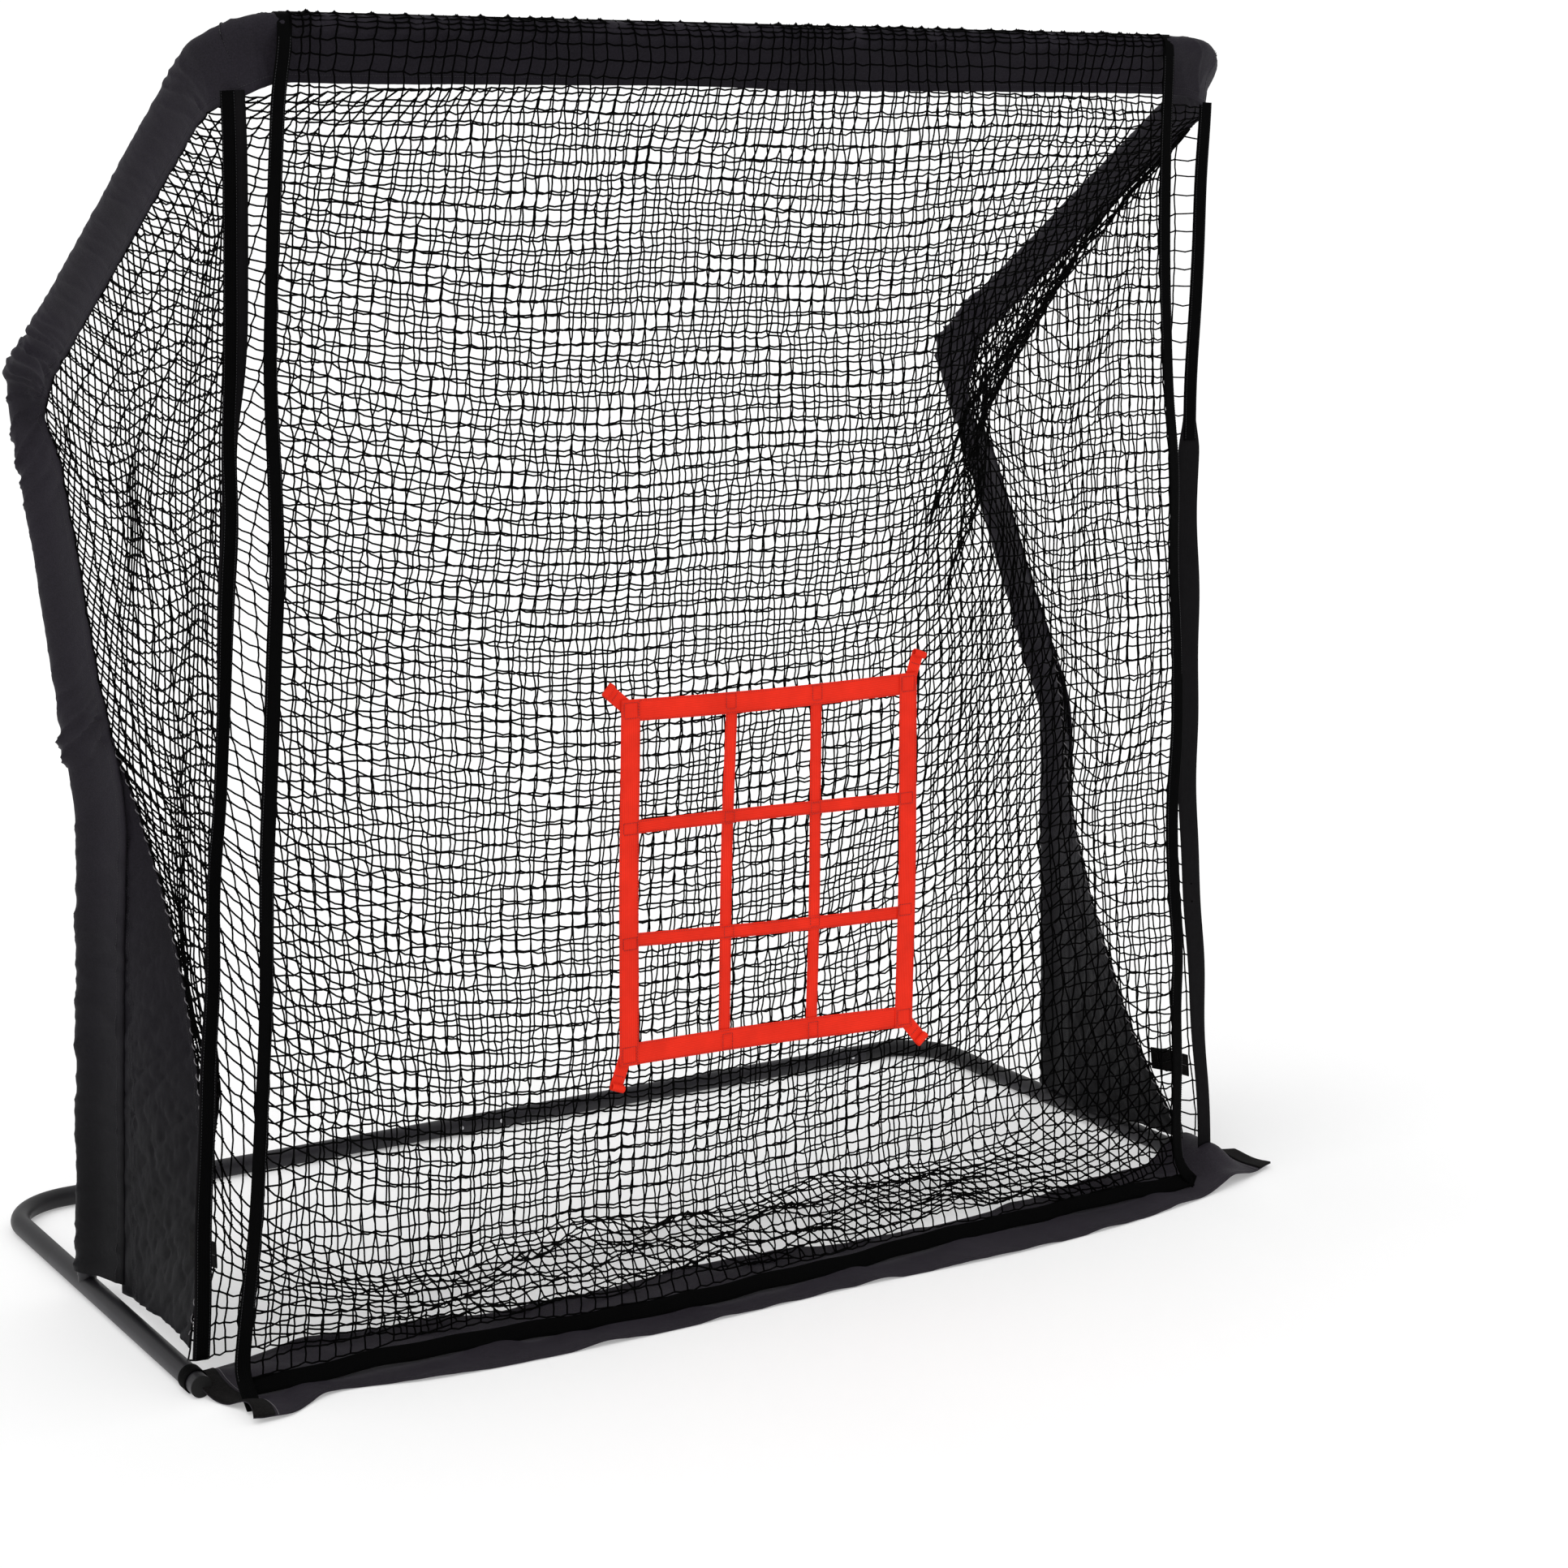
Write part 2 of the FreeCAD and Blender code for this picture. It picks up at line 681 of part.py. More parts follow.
def arm_sleeve(side, sign):
    """Fabric sleeve from the foot of the post, round the knee, to the bend of the top corner."""
    gap = f"Sizes.sleeve_corner_gap / {ARM_LENGTH}"
    corners = [
        ("0", "0"),
        ("Sizes.post_kink - Sizes.sleeve_foot", "0"),
        ("Sizes.knee_height - Sizes.sleeve_foot", "Sizes.post_line - Sizes.knee_line"),
        (
            f"Sizes.top_height - Sizes.sleeve_foot - {ARM_RISE} * {gap}",
            f"Sizes.post_line - Sizes.top_line - {ARM_RUN} * {gap}",
        ),
    ]
    body = new_body(f"ArmSleeve_{side}")
    path = new_sketch(body, "XY_Plane", "Path")
    bent_path(path, corners, [None, None])
    profile = new_sketch(body, "YZ_Plane")
    sleeve_profile(profile, "outer", "0")
    sleeve_profile(profile, "inner", "Sizes.cloth")
    sweep(body, profile, path, mitred=True)
    put(body, (f"{sign} * Sizes.half_span", "Sizes.post_line", "Sizes.sleeve_foot"), X_UP_Y_TO_FRONT)
    keep(body, f"arm_sleeve_{side}")


def corner_sleeve(side, sign):
    """Cloth round the bend of a top corner, sewn between the arm's sleeve and the top one."""
    across = f"{sign} * (Sizes.half_span - Sizes.top_sleeve_half - Sizes.sleeve_seam)"
    down = "(Sizes.sleeve_corner_gap - Sizes.sleeve_seam)"
    corners = [("0", "0"), (across, "0"), (across, down)]
    outer = "Sizes.corner_sleeve_radius"
    inner = f"({outer} - Sizes.cloth)"
    body = bent_tube(f"CornerSleeve_{side}", corners, ["Sizes.top_bend"], outer, inner)
    start = f"{sign} * (Sizes.top_sleeve_half + Sizes.sleeve_seam)"
    put(body, (start, "Sizes.top_line", "Sizes.top_height"), ALONG_ARM)
    keep(body, f"corner_sleeve_{side}")


def top_sleeve():
    """Fabric sleeve of the top bar. Its hanging edge leans back, clear of the pushed-in panel."""
    body = new_body("TopSleeve")
    profile = new_sketch(body, "YZ_Plane")
    lean = "Sizes.top_sleeve_lean * 1 deg"
    for name, inset in (("outer", "0"), ("inner", "Sizes.cloth")):
        radius = f"(Sizes.top_sleeve_radius - {inset})"
        reach = f"(Sizes.top_sleeve_reach - {inset})"
        front = f"(-{radius} / cos({lean}) + {reach} * tan({lean}))"
        corners = [
            (radius, "0"),
            (f"{front} + 2 * (Sizes.sleeve_edge - {inset})", f"-{reach}"),
            (front, f"-{reach}"),
            (f"-{radius} * cos({lean})", f"-{radius} * sin({lean})"),
        ]
        rounded_loop(profile, name, corners, radius, Vector(0, 1, 0))
    pad(body, profile, "2 * Sizes.top_sleeve_half", both_ways=True)
    put(body, ("0", "Sizes.top_line", "Sizes.top_height"))
    keep(body, "top_sleeve")


def gusset(side, sign):
    """Triangular cloth between post and leg. The net pulls its sloping front edge inwards."""
    rear, front = size("gusset_rear"), size("gusset_front")
    foot, top = size("gusset_foot"), size("gusset_top")
    outer = sign * size("half_span") - size("cloth") / 2
    pulled = outer - sign * size("gusset_bulge")
    tip = rear - size("gusset_tip")
    rear_edge = Part.makeLine(Vector(outer, rear, foot), Vector(outer, rear, top))
    front_edge = Part.Arc(
        Vector(outer, front, foot),
        Vector(pulled, (front + tip) / 2, (foot + top) / 2),
        Vector(outer, tip, top),
    ).toShape()
    surface = Part.makeRuledSurface(rear_edge, front_edge)
    panel = doc.addObject("Part::Feature", f"Gusset_{side}")
    panel.Shape = surface.extrude(Vector(size("cloth"), 0, 0))
    keep(panel, f"gusset_{side}")


# ---- main net ----------------------------------------------------------------------------------


def strip(name, corners, bends, thickness, width, shift="0"):
    """A flat strip swept along a bent path in the body's XY plane, its width along the body's Z."""
    body = new_body(name)
    path = new_sketch(body, "XY_Plane", "Path")
    bent_path(path, corners, bends)
    section = new_sketch(body, "YZ_Plane")
    near, far = f"{shift} - {width} / 2", f"{shift} + {width} / 2"
    below, above = f"-{thickness} / 2", f"{thickness} / 2"
    outline(section, [(below, near), (above, near), (above, far), (below, far)])
    sweep(body, section, path)
    return body


def side_net(side, sign):
    """Net panel between the edge strap, the arm's sleeve and the gusset."""
    body = new_body(f"SideNet_{side}")
    shape = new_sketch(body, "YZ_Plane")
    gap = "2 * Sizes.edge_strap_sheet"
    outline(
        shape,
        [
            (f"Sizes.edge_strap_foot_line + {gap}", "Sizes.side_net_foot"),
            (f"Sizes.gusset_front - {gap}", "Sizes.side_net_foot"),
            (f"Sizes.gusset_rear - Sizes.gusset_tip - {gap}", "Sizes.gusset_top"),
            ("Sizes.inner_kink_line", "Sizes.inner_kink_height"),
            ("Sizes.inner_knee_line", "Sizes.inner_knee_height"),
            (f"Sizes.edge_strap_top_line + {gap}", "Sizes.side_net_top"),
        ],
    )
    pad(body, shape, "Sizes.net_sheet", both_ways=True)
    put(body, (f"{sign} * Sizes.side_net_place", "0", "0"))
    keep(body, f"side_net_{side}")


def back_net():
    """Catch net: down and back from the top bar, in to the floor, and forward to the skirt."""
    front, foot = "Sizes.back_net_front", "Sizes.back_net_foot"
    corners = [
        ("0", "0"),
        (f"Sizes.back_net_heel - {front}", "0"),
        (f"Sizes.inner_kink_line - {front}", f"Sizes.inner_kink_height - {foot}"),
        (f"Sizes.inner_knee_line - {front}", f"Sizes.inner_knee_height - {foot}"),
        (f"Sizes.back_net_top_line - {front}", f"Sizes.back_net_top - {foot}"),
    ]
    bends = ["Sizes.back_net_bend"] * 3
    body = strip("BackNet", corners, bends, "Sizes.net_sheet", "Sizes.back_net_width")
    put(body, ("0", front, foot), X_BACK_Y_UP)
    keep(body, "back_net")


def edge_strap(side, sign):
    """Webbing down the net's front edge, from the top corner to the leg."""
    drop = "(Sizes.edge_strap_top - Sizes.edge_strap_foot)"
    run = "(Sizes.edge_strap_foot_line - Sizes.edge_strap_top_line)"
    lean = math.degrees(math.atan2(value_of(run), value_of(drop)))
    strap = box(
        f"EdgeStrap_{side}",
        (
            f"{sign} * Sizes.side_net_place - Sizes.edge_strap_width / 2",
            "Sizes.edge_strap_foot_line - Sizes.edge_strap_sheet / 2",
            "Sizes.edge_strap_foot",
        ),
        ("Sizes.edge_strap_width", "Sizes.edge_strap_sheet", f"sqrt({drop} * {drop} + {run} * {run})"),
        Rotation(Vector(1, 0, 0), lean),
    )
    keep(strap, f"edge_strap_{side}")


def leg_loops():
    """Webbing loops that hold the edge straps down over the side legs."""
    loops = []
    for side, sign in SIDES.items():
        body = new_body(f"Loop_{side}")
        for name, radius in (("outer", "Sizes.loop_outer"), ("inner", "Sizes.loop_inner")):
            section = new_sketch(body, "XZ_Plane")
            foot = "Sizes.loop_foot" if name == "outer" else f"{TUBE_OUT} + Sizes.loop_foot"
            corners = [(radius, "0"), (radius, f"-({foot})"), (f"-{radius}", f"-({foot})")]
            corners.append((f"-{radius}", "0"))
            rounded_loop(section, name, corners, radius, Vector(0, 1, 0))
            if name == "outer":
                pad(body, section, "Sizes.loop_width", both_ways=True)
            else:
                pocket_through(body, section)
        middle = "Sizes.loop_front + Sizes.loop_width / 2"
        put(body, (f"{sign} * Sizes.half_span", middle, TUBE_OUT))
        loops.append(body)
    keep(group("LegLoops", loops), "leg_loops")


def tie_tab(side, sign):
    """Hook-and-loop tab sewn to the gusset's front edge, which closes round the edge strap."""
    inner = f"{sign} * (Sizes.tie_tab_place + Sizes.tie_tab_sheet / 2) - Sizes.tie_tab_sheet / 2"
    tab = box(
        f"TieTab_{side}",
        (inner, "Sizes.tie_tab_front", "Sizes.tie_tab_foot"),
        ("Sizes.tie_tab_sheet", "Sizes.tie_tab_length", "Sizes.tie_tab_height"),
    )
    keep(tab, f"tie_tab_{side}")


def ground_skirt():
    """Cloth strip on the floor across the front. It rises over the front end of the right leg."""
    ridge_left = "Sizes.half_span - Sizes.skirt_ridge - Sizes.skirt_left"
    ridge_right = "Sizes.half_span + Sizes.skirt_ridge - Sizes.skirt_left"
    corners = [
        ("0", "0"),
        (f"{ridge_left} - Sizes.skirt_slope", "0"),
        (ridge_left, "Sizes.skirt_ramp"),
        (ridge_right, "Sizes.skirt_ramp"),
        (f"{ridge_right} + Sizes.skirt_slope", "0"),
        ("Sizes.skirt_right - Sizes.skirt_left", "0"),
    ]
    body = strip(
        "Skirt",
        corners,
        ["Sizes.skirt_bend"] * 4,
        "Sizes.skirt_sheet",
        "Sizes.skirt_depth",
        "-(Sizes.skirt_front + Sizes.skirt_depth / 2)",
    )
    put(body, ("Sizes.skirt_left", "0", "Sizes.skirt_sheet / 2"), Y_UP)
    keep(body, "ground_skirt")


def skirt_end_bands():
    """Hook-and-loop bands along both ends of the skirt."""
    level = "Sizes.skirt_sheet + Sizes.layer_gap"
    bands = [
        box(
            f"SkirtBand_{side}",
            (place, "Sizes.skirt_front", level),
            ("Sizes.skirt_band", "Sizes.skirt_depth", "Sizes.skirt_sheet"),
        )
        for side, place in (
            ("left", "Sizes.skirt_left"),
            ("right", "Sizes.skirt_right - Sizes.skirt_band"),
        )
    ]
    keep(group("SkirtBands", bands), "skirt_end_bands")


# ---- hanging target panel ----------------------------------------------------------------------

PANEL_BACK = "(Sizes.top_line - Sizes.panel_offset)"
PANEL_FRONT = f"({PANEL_BACK} - Sizes.binding_sheet)"
PANEL_TOP = "(Sizes.top_height - Sizes.hem_drop - Sizes.net_sheet)"
ZONE_BACK = f"({PANEL_FRONT} - Sizes.zone_gap)"
ZONE_LAYER = f"({ZONE_BACK} - Sizes.zone_sheet - Sizes.layer_gap)"


def front_net_hem():
    """Hem that hooks the panel over the top bar, concentric with the bar."""
    radius = "(Sizes.panel_offset + Sizes.hem_sheet / 2)"
    corners = [
        ("0", "0"),
        (f"Sizes.hem_drop + {radius}", "0"),
        (f"Sizes.hem_drop + {radius}", f"-{radius} - Sizes.hem_overlap"),
    ]
    width = "(Sizes.panel_right - Sizes.panel_left)"
    body = strip("Hem", corners, [radius], "Sizes.hem_sheet", width)
    middle = "(Sizes.panel_left + Sizes.panel_right) / 2"
    height = "Sizes.top_height - Sizes.hem_drop"
    put(body, (middle, f"Sizes.top_line - {radius}", height), X_UP_Y_TO_FRONT)
    keep(body, "front_net_hem")


def front_bindings():
    """Webbing round the panel's two sides and its foot."""
    width, sheet_size = "Sizes.binding_width", "Sizes.binding_sheet"
    tall = f"{PANEL_TOP} - Sizes.panel_foot"
    foot = "Sizes.panel_foot"
    inner_left = f"Sizes.panel_left + {width} + Sizes.layer_gap"
    inner_width = f"Sizes.panel_right - Sizes.panel_left - 2 * ({width} + Sizes.layer_gap)"
    for side, place in (("left", "Sizes.panel_left"), ("right", f"Sizes.panel_right - {width}")):
        binding = box(f"Binding_{side}", (place, PANEL_FRONT, foot), (width, sheet_size, tall))
        keep(binding, f"front_binding_{side}")
    binding = box("Binding_bottom", (inner_left, PANEL_FRONT, foot), (inner_width, sheet_size, width))
    keep(binding, "front_binding_bottom")


def front_net():
    """The hanging net itself, inside its bindings."""
    margin = "(Sizes.binding_width + Sizes.layer_gap)"
    net = box(
        "FrontNet",
        (
            f"Sizes.panel_left + {margin}",
            f"({PANEL_BACK} + {PANEL_FRONT} - Sizes.net_sheet) / 2",
            f"Sizes.panel_foot + {margin}",
        ),
        (
            f"Sizes.panel_right - Sizes.panel_left - 2 * {margin}",
            "Sizes.net_sheet",
            f"{PANEL_TOP} - Sizes.panel_foot - {margin}",
        ),
    )
    keep(net, "front_net")


def strike_zone_frame():
    """Flat webbing rectangle round the nine cells."""
    body = new_body("ZoneFrame")
    shape = new_sketch(body, "XZ_Plane")
    half, tall, bar = "Sizes.zone_width / 2", "Sizes.zone_height", "Sizes.zone_frame"
    outline(shape, [(f"-{half}", "0"), (half, "0"), (half, tall), (f"-{half}", tall)])
    left, right = f"-{half} + {bar}", f"{half} - {bar}"
    window_top = f"{tall} - {bar}"
    outline(shape, [(left, bar), (right, bar), (right, window_top), (left, window_top)], "window")
    pad(body, shape, "Sizes.zone_sheet")
    put(body, ("Sizes.zone_centre", ZONE_BACK, "Sizes.zone_foot"))
    keep(body, "strike_zone_frame")


def strike_zone_grid():
    """Two upright and two level straps that divide the zone into nine cells."""
    bar, grid = "Sizes.zone_frame", "Sizes.zone_grid"
    left = "(Sizes.zone_centre - Sizes.zone_width / 2)"
    layer = f"{ZONE_LAYER} - Sizes.zone_sheet"
    straps = []
    for third in (1, 2):
        across = f"{bar} + {third} * (Sizes.zone_width - 2 * {bar}) / 3 - {grid} / 2"
        upwards = f"{bar} + {third} * (Sizes.zone_height - 2 * {bar}) / 3 - {grid} / 2"
        upright = (f"{left} + {across}", layer, "Sizes.zone_foot")
        level = (left, layer, f"Sizes.zone_foot + {upwards}")
        straps.append(box("Upright", upright, (grid, "Sizes.zone_sheet", "Sizes.zone_height")))
        straps.append(box("Level", level, ("Sizes.zone_width", "Sizes.zone_sheet", grid)))
    lattice = doc.addObject("Part::MultiFuse", "ZoneGrid")
    lattice.Shapes = straps
    keep(lattice, "strike_zone_grid")


def strike_tab(place, sign_x, sign_z):
    """Corner tab that closes round the net's cords. Its own +Z runs out from the corner."""
    lean = size(f"tab_lean_{place}")
    inset = "Sizes.tab_inset"
    foot = "Sizes.zone_foot + Sizes.zone_height" if sign_z > 0 else "Sizes.zone_foot"
    root_x = f"Sizes.zone_centre + {sign_x} * (Sizes.zone_width / 2 - {inset})"
    root_z = f"{foot} - {sign_z} * {inset}"
    angle = f"Sizes.tab_lean_{place} * 1 deg"
    tab = box(
        f"Tab_{place}",
        (
            f"{root_x} - cos({angle}) * Sizes.tab_width / 2",
            f"{ZONE_LAYER} - Sizes.zone_sheet",
            f"{root_z} + sin({angle}) * Sizes.tab_width / 2",
        ),
        ("Sizes.tab_width", "Sizes.zone_sheet", "Sizes.tab_length"),
        Rotation(Vector(0, 1, 0), lean),
    )
    keep(tab, f"strike_tab_{place}")


# ---- the whole net -----------------------------------------------------------------------------


def build():
    """Makes every sub-part."""
    for side, sign in SIDES.items():
        side_leg(side, sign)
        base_corner(side, sign)
        rear_tube(side, sign)
        lower_post(side, sign)
        knee_tube(side, sign)
        upper_arm(side, sign)
        top_bar(side, sign)
        arm_sleeve(side, sign)
        corner_sleeve(side, sign)
        gusset(side, sign)
        side_net(side, sign)
        edge_strap(side, sign)
        tie_tab(side, sign)
    coupler("rear", ("Sizes.rear_middle", "Sizes.rear_line", TUBE_OUT))
    coupler("top", ("0", "Sizes.top_line", "Sizes.top_height"))
    leg_caps()
    for name, place in BUTTONS.items():
        snap_clip(name, *place)
    top_sleeve()
    back_net()
    leg_loops()
    ground_skirt()
    skirt_end_bands()
    front_net_hem()
    front_bindings()
    front_net()
    strike_zone_frame()
    strike_zone_grid()
    strike_tab("top_left", -1, 1)
    strike_tab("top_right", 1, 1)
    strike_tab("bottom_left", -1, -1)
    strike_tab("bottom_right", 1, -1)
    doc.recompute()


def check():
    """Stops with a message if any object failed or any sub-part's shape is unusable."""
    failed = [o.Name for o in doc.Objects if "Invalid" in o.State or "Error" in o.State]
    if failed:
        raise RuntimeError(f"objects that failed to recompute: {failed}")
    for node in nodes:
        if node.Shape.isNull() or not node.Shape.isValid() or not node.Shape.Solids:
            raise RuntimeError(f"unusable shape: {node.Label}")


def export():
    os.makedirs("parts", exist_ok=True)
    for node in nodes:
        node.Shape.exportStep(os.path.join("parts", f"{node.Label}.step"))


build()
check()
export()
print(f"{len(nodes)} sub-parts written")
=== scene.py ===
import math

import bpy
import numpy as np
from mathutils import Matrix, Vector


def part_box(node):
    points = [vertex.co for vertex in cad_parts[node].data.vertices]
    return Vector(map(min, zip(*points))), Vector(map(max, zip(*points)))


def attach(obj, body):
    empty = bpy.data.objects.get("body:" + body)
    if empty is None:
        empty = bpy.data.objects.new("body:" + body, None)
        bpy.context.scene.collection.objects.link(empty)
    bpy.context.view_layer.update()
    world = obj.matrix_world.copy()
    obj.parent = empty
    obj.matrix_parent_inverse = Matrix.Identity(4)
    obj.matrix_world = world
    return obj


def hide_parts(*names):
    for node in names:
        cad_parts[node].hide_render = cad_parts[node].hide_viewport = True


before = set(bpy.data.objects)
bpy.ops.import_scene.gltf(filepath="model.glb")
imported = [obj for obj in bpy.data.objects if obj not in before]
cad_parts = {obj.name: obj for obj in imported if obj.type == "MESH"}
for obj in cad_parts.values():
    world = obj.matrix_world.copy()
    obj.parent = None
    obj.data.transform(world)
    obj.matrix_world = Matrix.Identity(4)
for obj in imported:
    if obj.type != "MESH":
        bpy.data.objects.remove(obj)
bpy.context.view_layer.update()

# The looks of a free-standing pitching net, in metres, in the CAD frame: +Z up, +Y to the back,
# +X to the thrower's right. Steel, caps and clips stay as CAD made them. Every soft piece (nets,
# sleeves, gussets, webbing, skirt, strike zone) is built here in place of its plain CAD solid.

SIDES = {"left": -1, "right": 1}
RIGHT = np.array([1.0, 0.0, 0.0])
BACK = np.array([0.0, 1.0, 0.0])
UP = np.array([0.0, 0.0, 1.0])

# ---- places taken from the frame


def middle(node):
    """Centre of a CAD node's box."""
    low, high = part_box(node)
    return np.array((low + high) / 2)


TUBE = (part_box("lower_post_right")[1].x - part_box("lower_post_right")[0].x) / 2
SPAN = middle("lower_post_right")[0]
POST_Y = middle("lower_post_right")[1]
TOP = middle("top_coupler")
PANEL_Y = middle("front_net")[1]
ZONE_LOW, ZONE_HIGH = (np.array(corner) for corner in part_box("strike_zone_frame"))

# Centreline of the frame's side, as (y, z).
FOOT_Z = 0.046
KINK = np.array([POST_Y, 0.830])
KNEE = np.array([0.936, 1.582])
CORNER = np.array([TOP[1], TOP[2]])
CORNER_BEND = 0.115
KINK_BEND = 0.110
KNEE_BEND = 0.060

# ---- shared shapes

CORD_RADIUS = 0.00185
KNOT_RADIUS = 0.0037
MESH_PITCH = 0.0255
CLOTH = 0.0012
STRAP = 0.0022
CLOTH_UV = "cloth"


def unit(vectors):
    """Vectors scaled to length 1."""
    length = np.linalg.norm(vectors, axis=-1, keepdims=True)
    return vectors / np.maximum(length, 1e-12)


def smoothstep(low, high, value):
    """Rises softly from 0 at low to 1 at high; falls when low is the larger."""
    t = np.clip((value - low) / (high - low), 0.0, 1.0)
    return t * t * (3 - 2 * t)


def bump(value, centre, width):
    """A soft hill of height 1 at the centre."""
    return np.exp(-(((value - centre) / width) ** 2))


def ripple(points, wavelength, seed, waves=7):
    """A smooth random field over space, within about -1 and 1, the same on every run."""
    draw = np.random.default_rng(seed)
    directions = unit(draw.normal(size=(waves, 3)))
    number = 2 * math.pi / wavelength * draw.uniform(0.7, 1.5, waves)
    phase = draw.uniform(0, 2 * math.pi, waves)
    return np.sin(points @ (directions * number[:, None]).T + phase).sum(axis=-1) / math.sqrt(waves)


def ridges(points, wavelength, seed):
    """Sharp-topped random creases, within about 0 and 1."""
    return np.clip(1 - np.abs(ripple(points, wavelength, seed, 5)), 0, 1) ** 2


def through(knots, values, at):
    """A smooth curve through a few control values (Catmull-Rom on uneven knots)."""
    knots, values = np.asarray(knots, float), np.asarray(values, float)
    slopes = np.gradient(values, knots)
    at = np.clip(at, knots[0], knots[-1])
    i = np.clip(np.searchsorted(knots, at) - 1, 0, len(knots) - 2)
    step = knots[i + 1] - knots[i]
    t = (at - knots[i]) / step
    return (
        (2 * t**3 - 3 * t**2 + 1) * values[i]
        + (t**3 - 2 * t**2 + t) * step * slopes[i]
        + (3 * t**2 - 2 * t**3) * values[i + 1]
        + (t**3 - t**2) * step * slopes[i + 1]
    )


def mesh_object(name, vertices, faces, uvs=None):
    """A smooth-shaded object. uvs holds one pair in metres for each vertex."""
    mesh = bpy.data.meshes.new(name)
    mesh.from_pydata(np.asarray(vertices).tolist(), [], [tuple(f) for f in np.asarray(faces).tolist()])
    if uvs is not None:
        layer = mesh.uv_layers.new(name=CLOTH_UV)
        corner = np.empty(len(mesh.loops), np.int32)
        mesh.loops.foreach_get("vertex_index", corner)
        layer.data.foreach_set("uv", np.asarray(uvs, np.float32)[corner].ravel())
    mesh.shade_smooth()
    mesh.update()
    thing = bpy.data.objects.new(name, mesh)
    bpy.context.scene.collection.objects.link(thing)
    return thing


def grid_faces(rows, columns, wrap=False, first=0):
    """Quads between neighbouring rows of points; wrap joins the last column to the first."""
    row = np.arange(rows - 1)[:, None] * columns
    column = np.arange(columns if wrap else columns - 1)[None, :]
    ahead = (column + 1) % columns
    corners = [row + column, row + ahead, row + columns + ahead, row + columns + column]
    return first + np.stack(corners, axis=-1).reshape(-1, 4)


def run_lengths(points):
    """Distance along a run of points, from its first one."""
    steps = np.linalg.norm(np.diff(points, axis=0), axis=1)
    return np.concatenate([[0.0], np.cumsum(steps)])


def along_run(at, reach, rows):
    """Rows of values read off at given distances along a run."""
    return np.stack([np.interp(at, reach, column) for column in rows.T], axis=1)


def thick_sheet(name, points, thickness=CLOTH):
    """Cloth with two faces and a rim, from a grid of points on its middle surface."""
    rows, columns = points.shape[:2]
    normal = unit(np.cross(np.gradient(points, axis=0), np.gradient(points, axis=1)))
    skins = [points + normal * thickness / 2, points - normal * thickness / 2]
    count = rows * columns
    top = grid_faces(rows, columns)
    below = grid_faces(rows, columns, first=count)[:, ::-1]
    index = np.arange(count).reshape(rows, columns)
    loop = np.concatenate([index[0, :-1], index[:-1, -1], index[-1, :0:-1], index[:0:-1, 0]])
    after = np.roll(loop, -1)
    rim = np.stack([after, loop, loop + count, after + count], axis=-1)
    down, across = run_lengths(points[:, columns // 2]), run_lengths(points[rows // 2])
    uv = np.stack(np.meshgrid(across, down), axis=-1).reshape(-1, 2)
    return mesh_object(
        name,
        np.concatenate([skin.reshape(-1, 3) for skin in skins]),
        np.concatenate([top, below, rim]),
        np.concatenate([uv, uv]),
    )


def webbing(name, path, across, width, thickness=STRAP):
    """A flat woven strap with soft edges along a path; across is the direction of its width."""
    path = np.asarray(path, float)
    count = len(path)
    tangent = unit(np.gradient(path, axis=0))
    across = unit(np.broadcast_to(np.asarray(across, float), path.shape))
    across = unit(across - tangent * np.sum(across * tangent, axis=1, keepdims=True))
    out = np.cross(tangent, across)
    half, skin = np.broadcast_to(width, count)[:, None] / 2, thickness / 2
    face = np.linspace(-1, 1, 5) * (half - skin)
    places = np.concatenate([face, half, face[:, ::-1], -half], axis=1)
    lifts = np.array([skin] * 5 + [0.0] + [-skin] * 5 + [0.0])
    rings = path[:, None] + places[..., None] * across[:, None] + lifts[:, None] * out[:, None]
    size = len(lifts)
    faces = [tuple(f) for f in grid_faces(count, size, wrap=True).tolist()]
    uv = np.stack(np.broadcast_arrays(places, run_lengths(path)[:, None]), axis=-1)
    strap = mesh_object(name, rings.reshape(-1, 3), faces, uv.reshape(-1, 2))
    close_ends(strap, size, count)
    return strap


def close_ends(strap, size, count):
    """Fills the two open ends of a swept section."""
    ends = bpy.data.meshes.new(strap.name)
    vertices = [tuple(v.co) for v in strap.data.vertices]
    faces = [tuple(p.vertices) for p in strap.data.polygons]
    faces.append(tuple(range(size))[::-1])
    faces.append(tuple(range((count - 1) * size, count * size)))
    uvs = np.empty(len(strap.data.loops) * 2, np.float32)
    strap.data.uv_layers[CLOTH_UV].data.foreach_get("uv", uvs)
    ends.from_pydata(vertices, [], faces)
    layer = ends.uv_layers.new(name=CLOTH_UV)
    filled = np.zeros(len(ends.loops) * 2, np.float32)
    filled[: len(uvs)] = uvs
    layer.data.foreach_set("uv", filled)
    ends.shade_smooth()
    strap.data = ends


def cords(name, lines, radius, reference, sides=3):
    """Round cords along runs of points. The reference direction is never along a cord."""
    angle = 2 * math.pi * np.arange(sides) / sides
    vertices, faces, first = [], [], 0
    for line in lines:
        tangent = unit(np.gradient(line, axis=0))
        side = unit(np.cross(tangent, reference))
        lift = np.cross(side, tangent)
        ring = np.cos(angle)[:, None] * side[:, None] + np.sin(angle)[:, None] * lift[:, None]
        vertices.append((line[:, None] + radius * ring).reshape(-1, 3))
        faces.append(grid_faces(len(line), sides, wrap=True, first=first))
        first += len(line) * sides
    return mesh_object(name, np.concatenate(vertices), np.concatenate(faces))


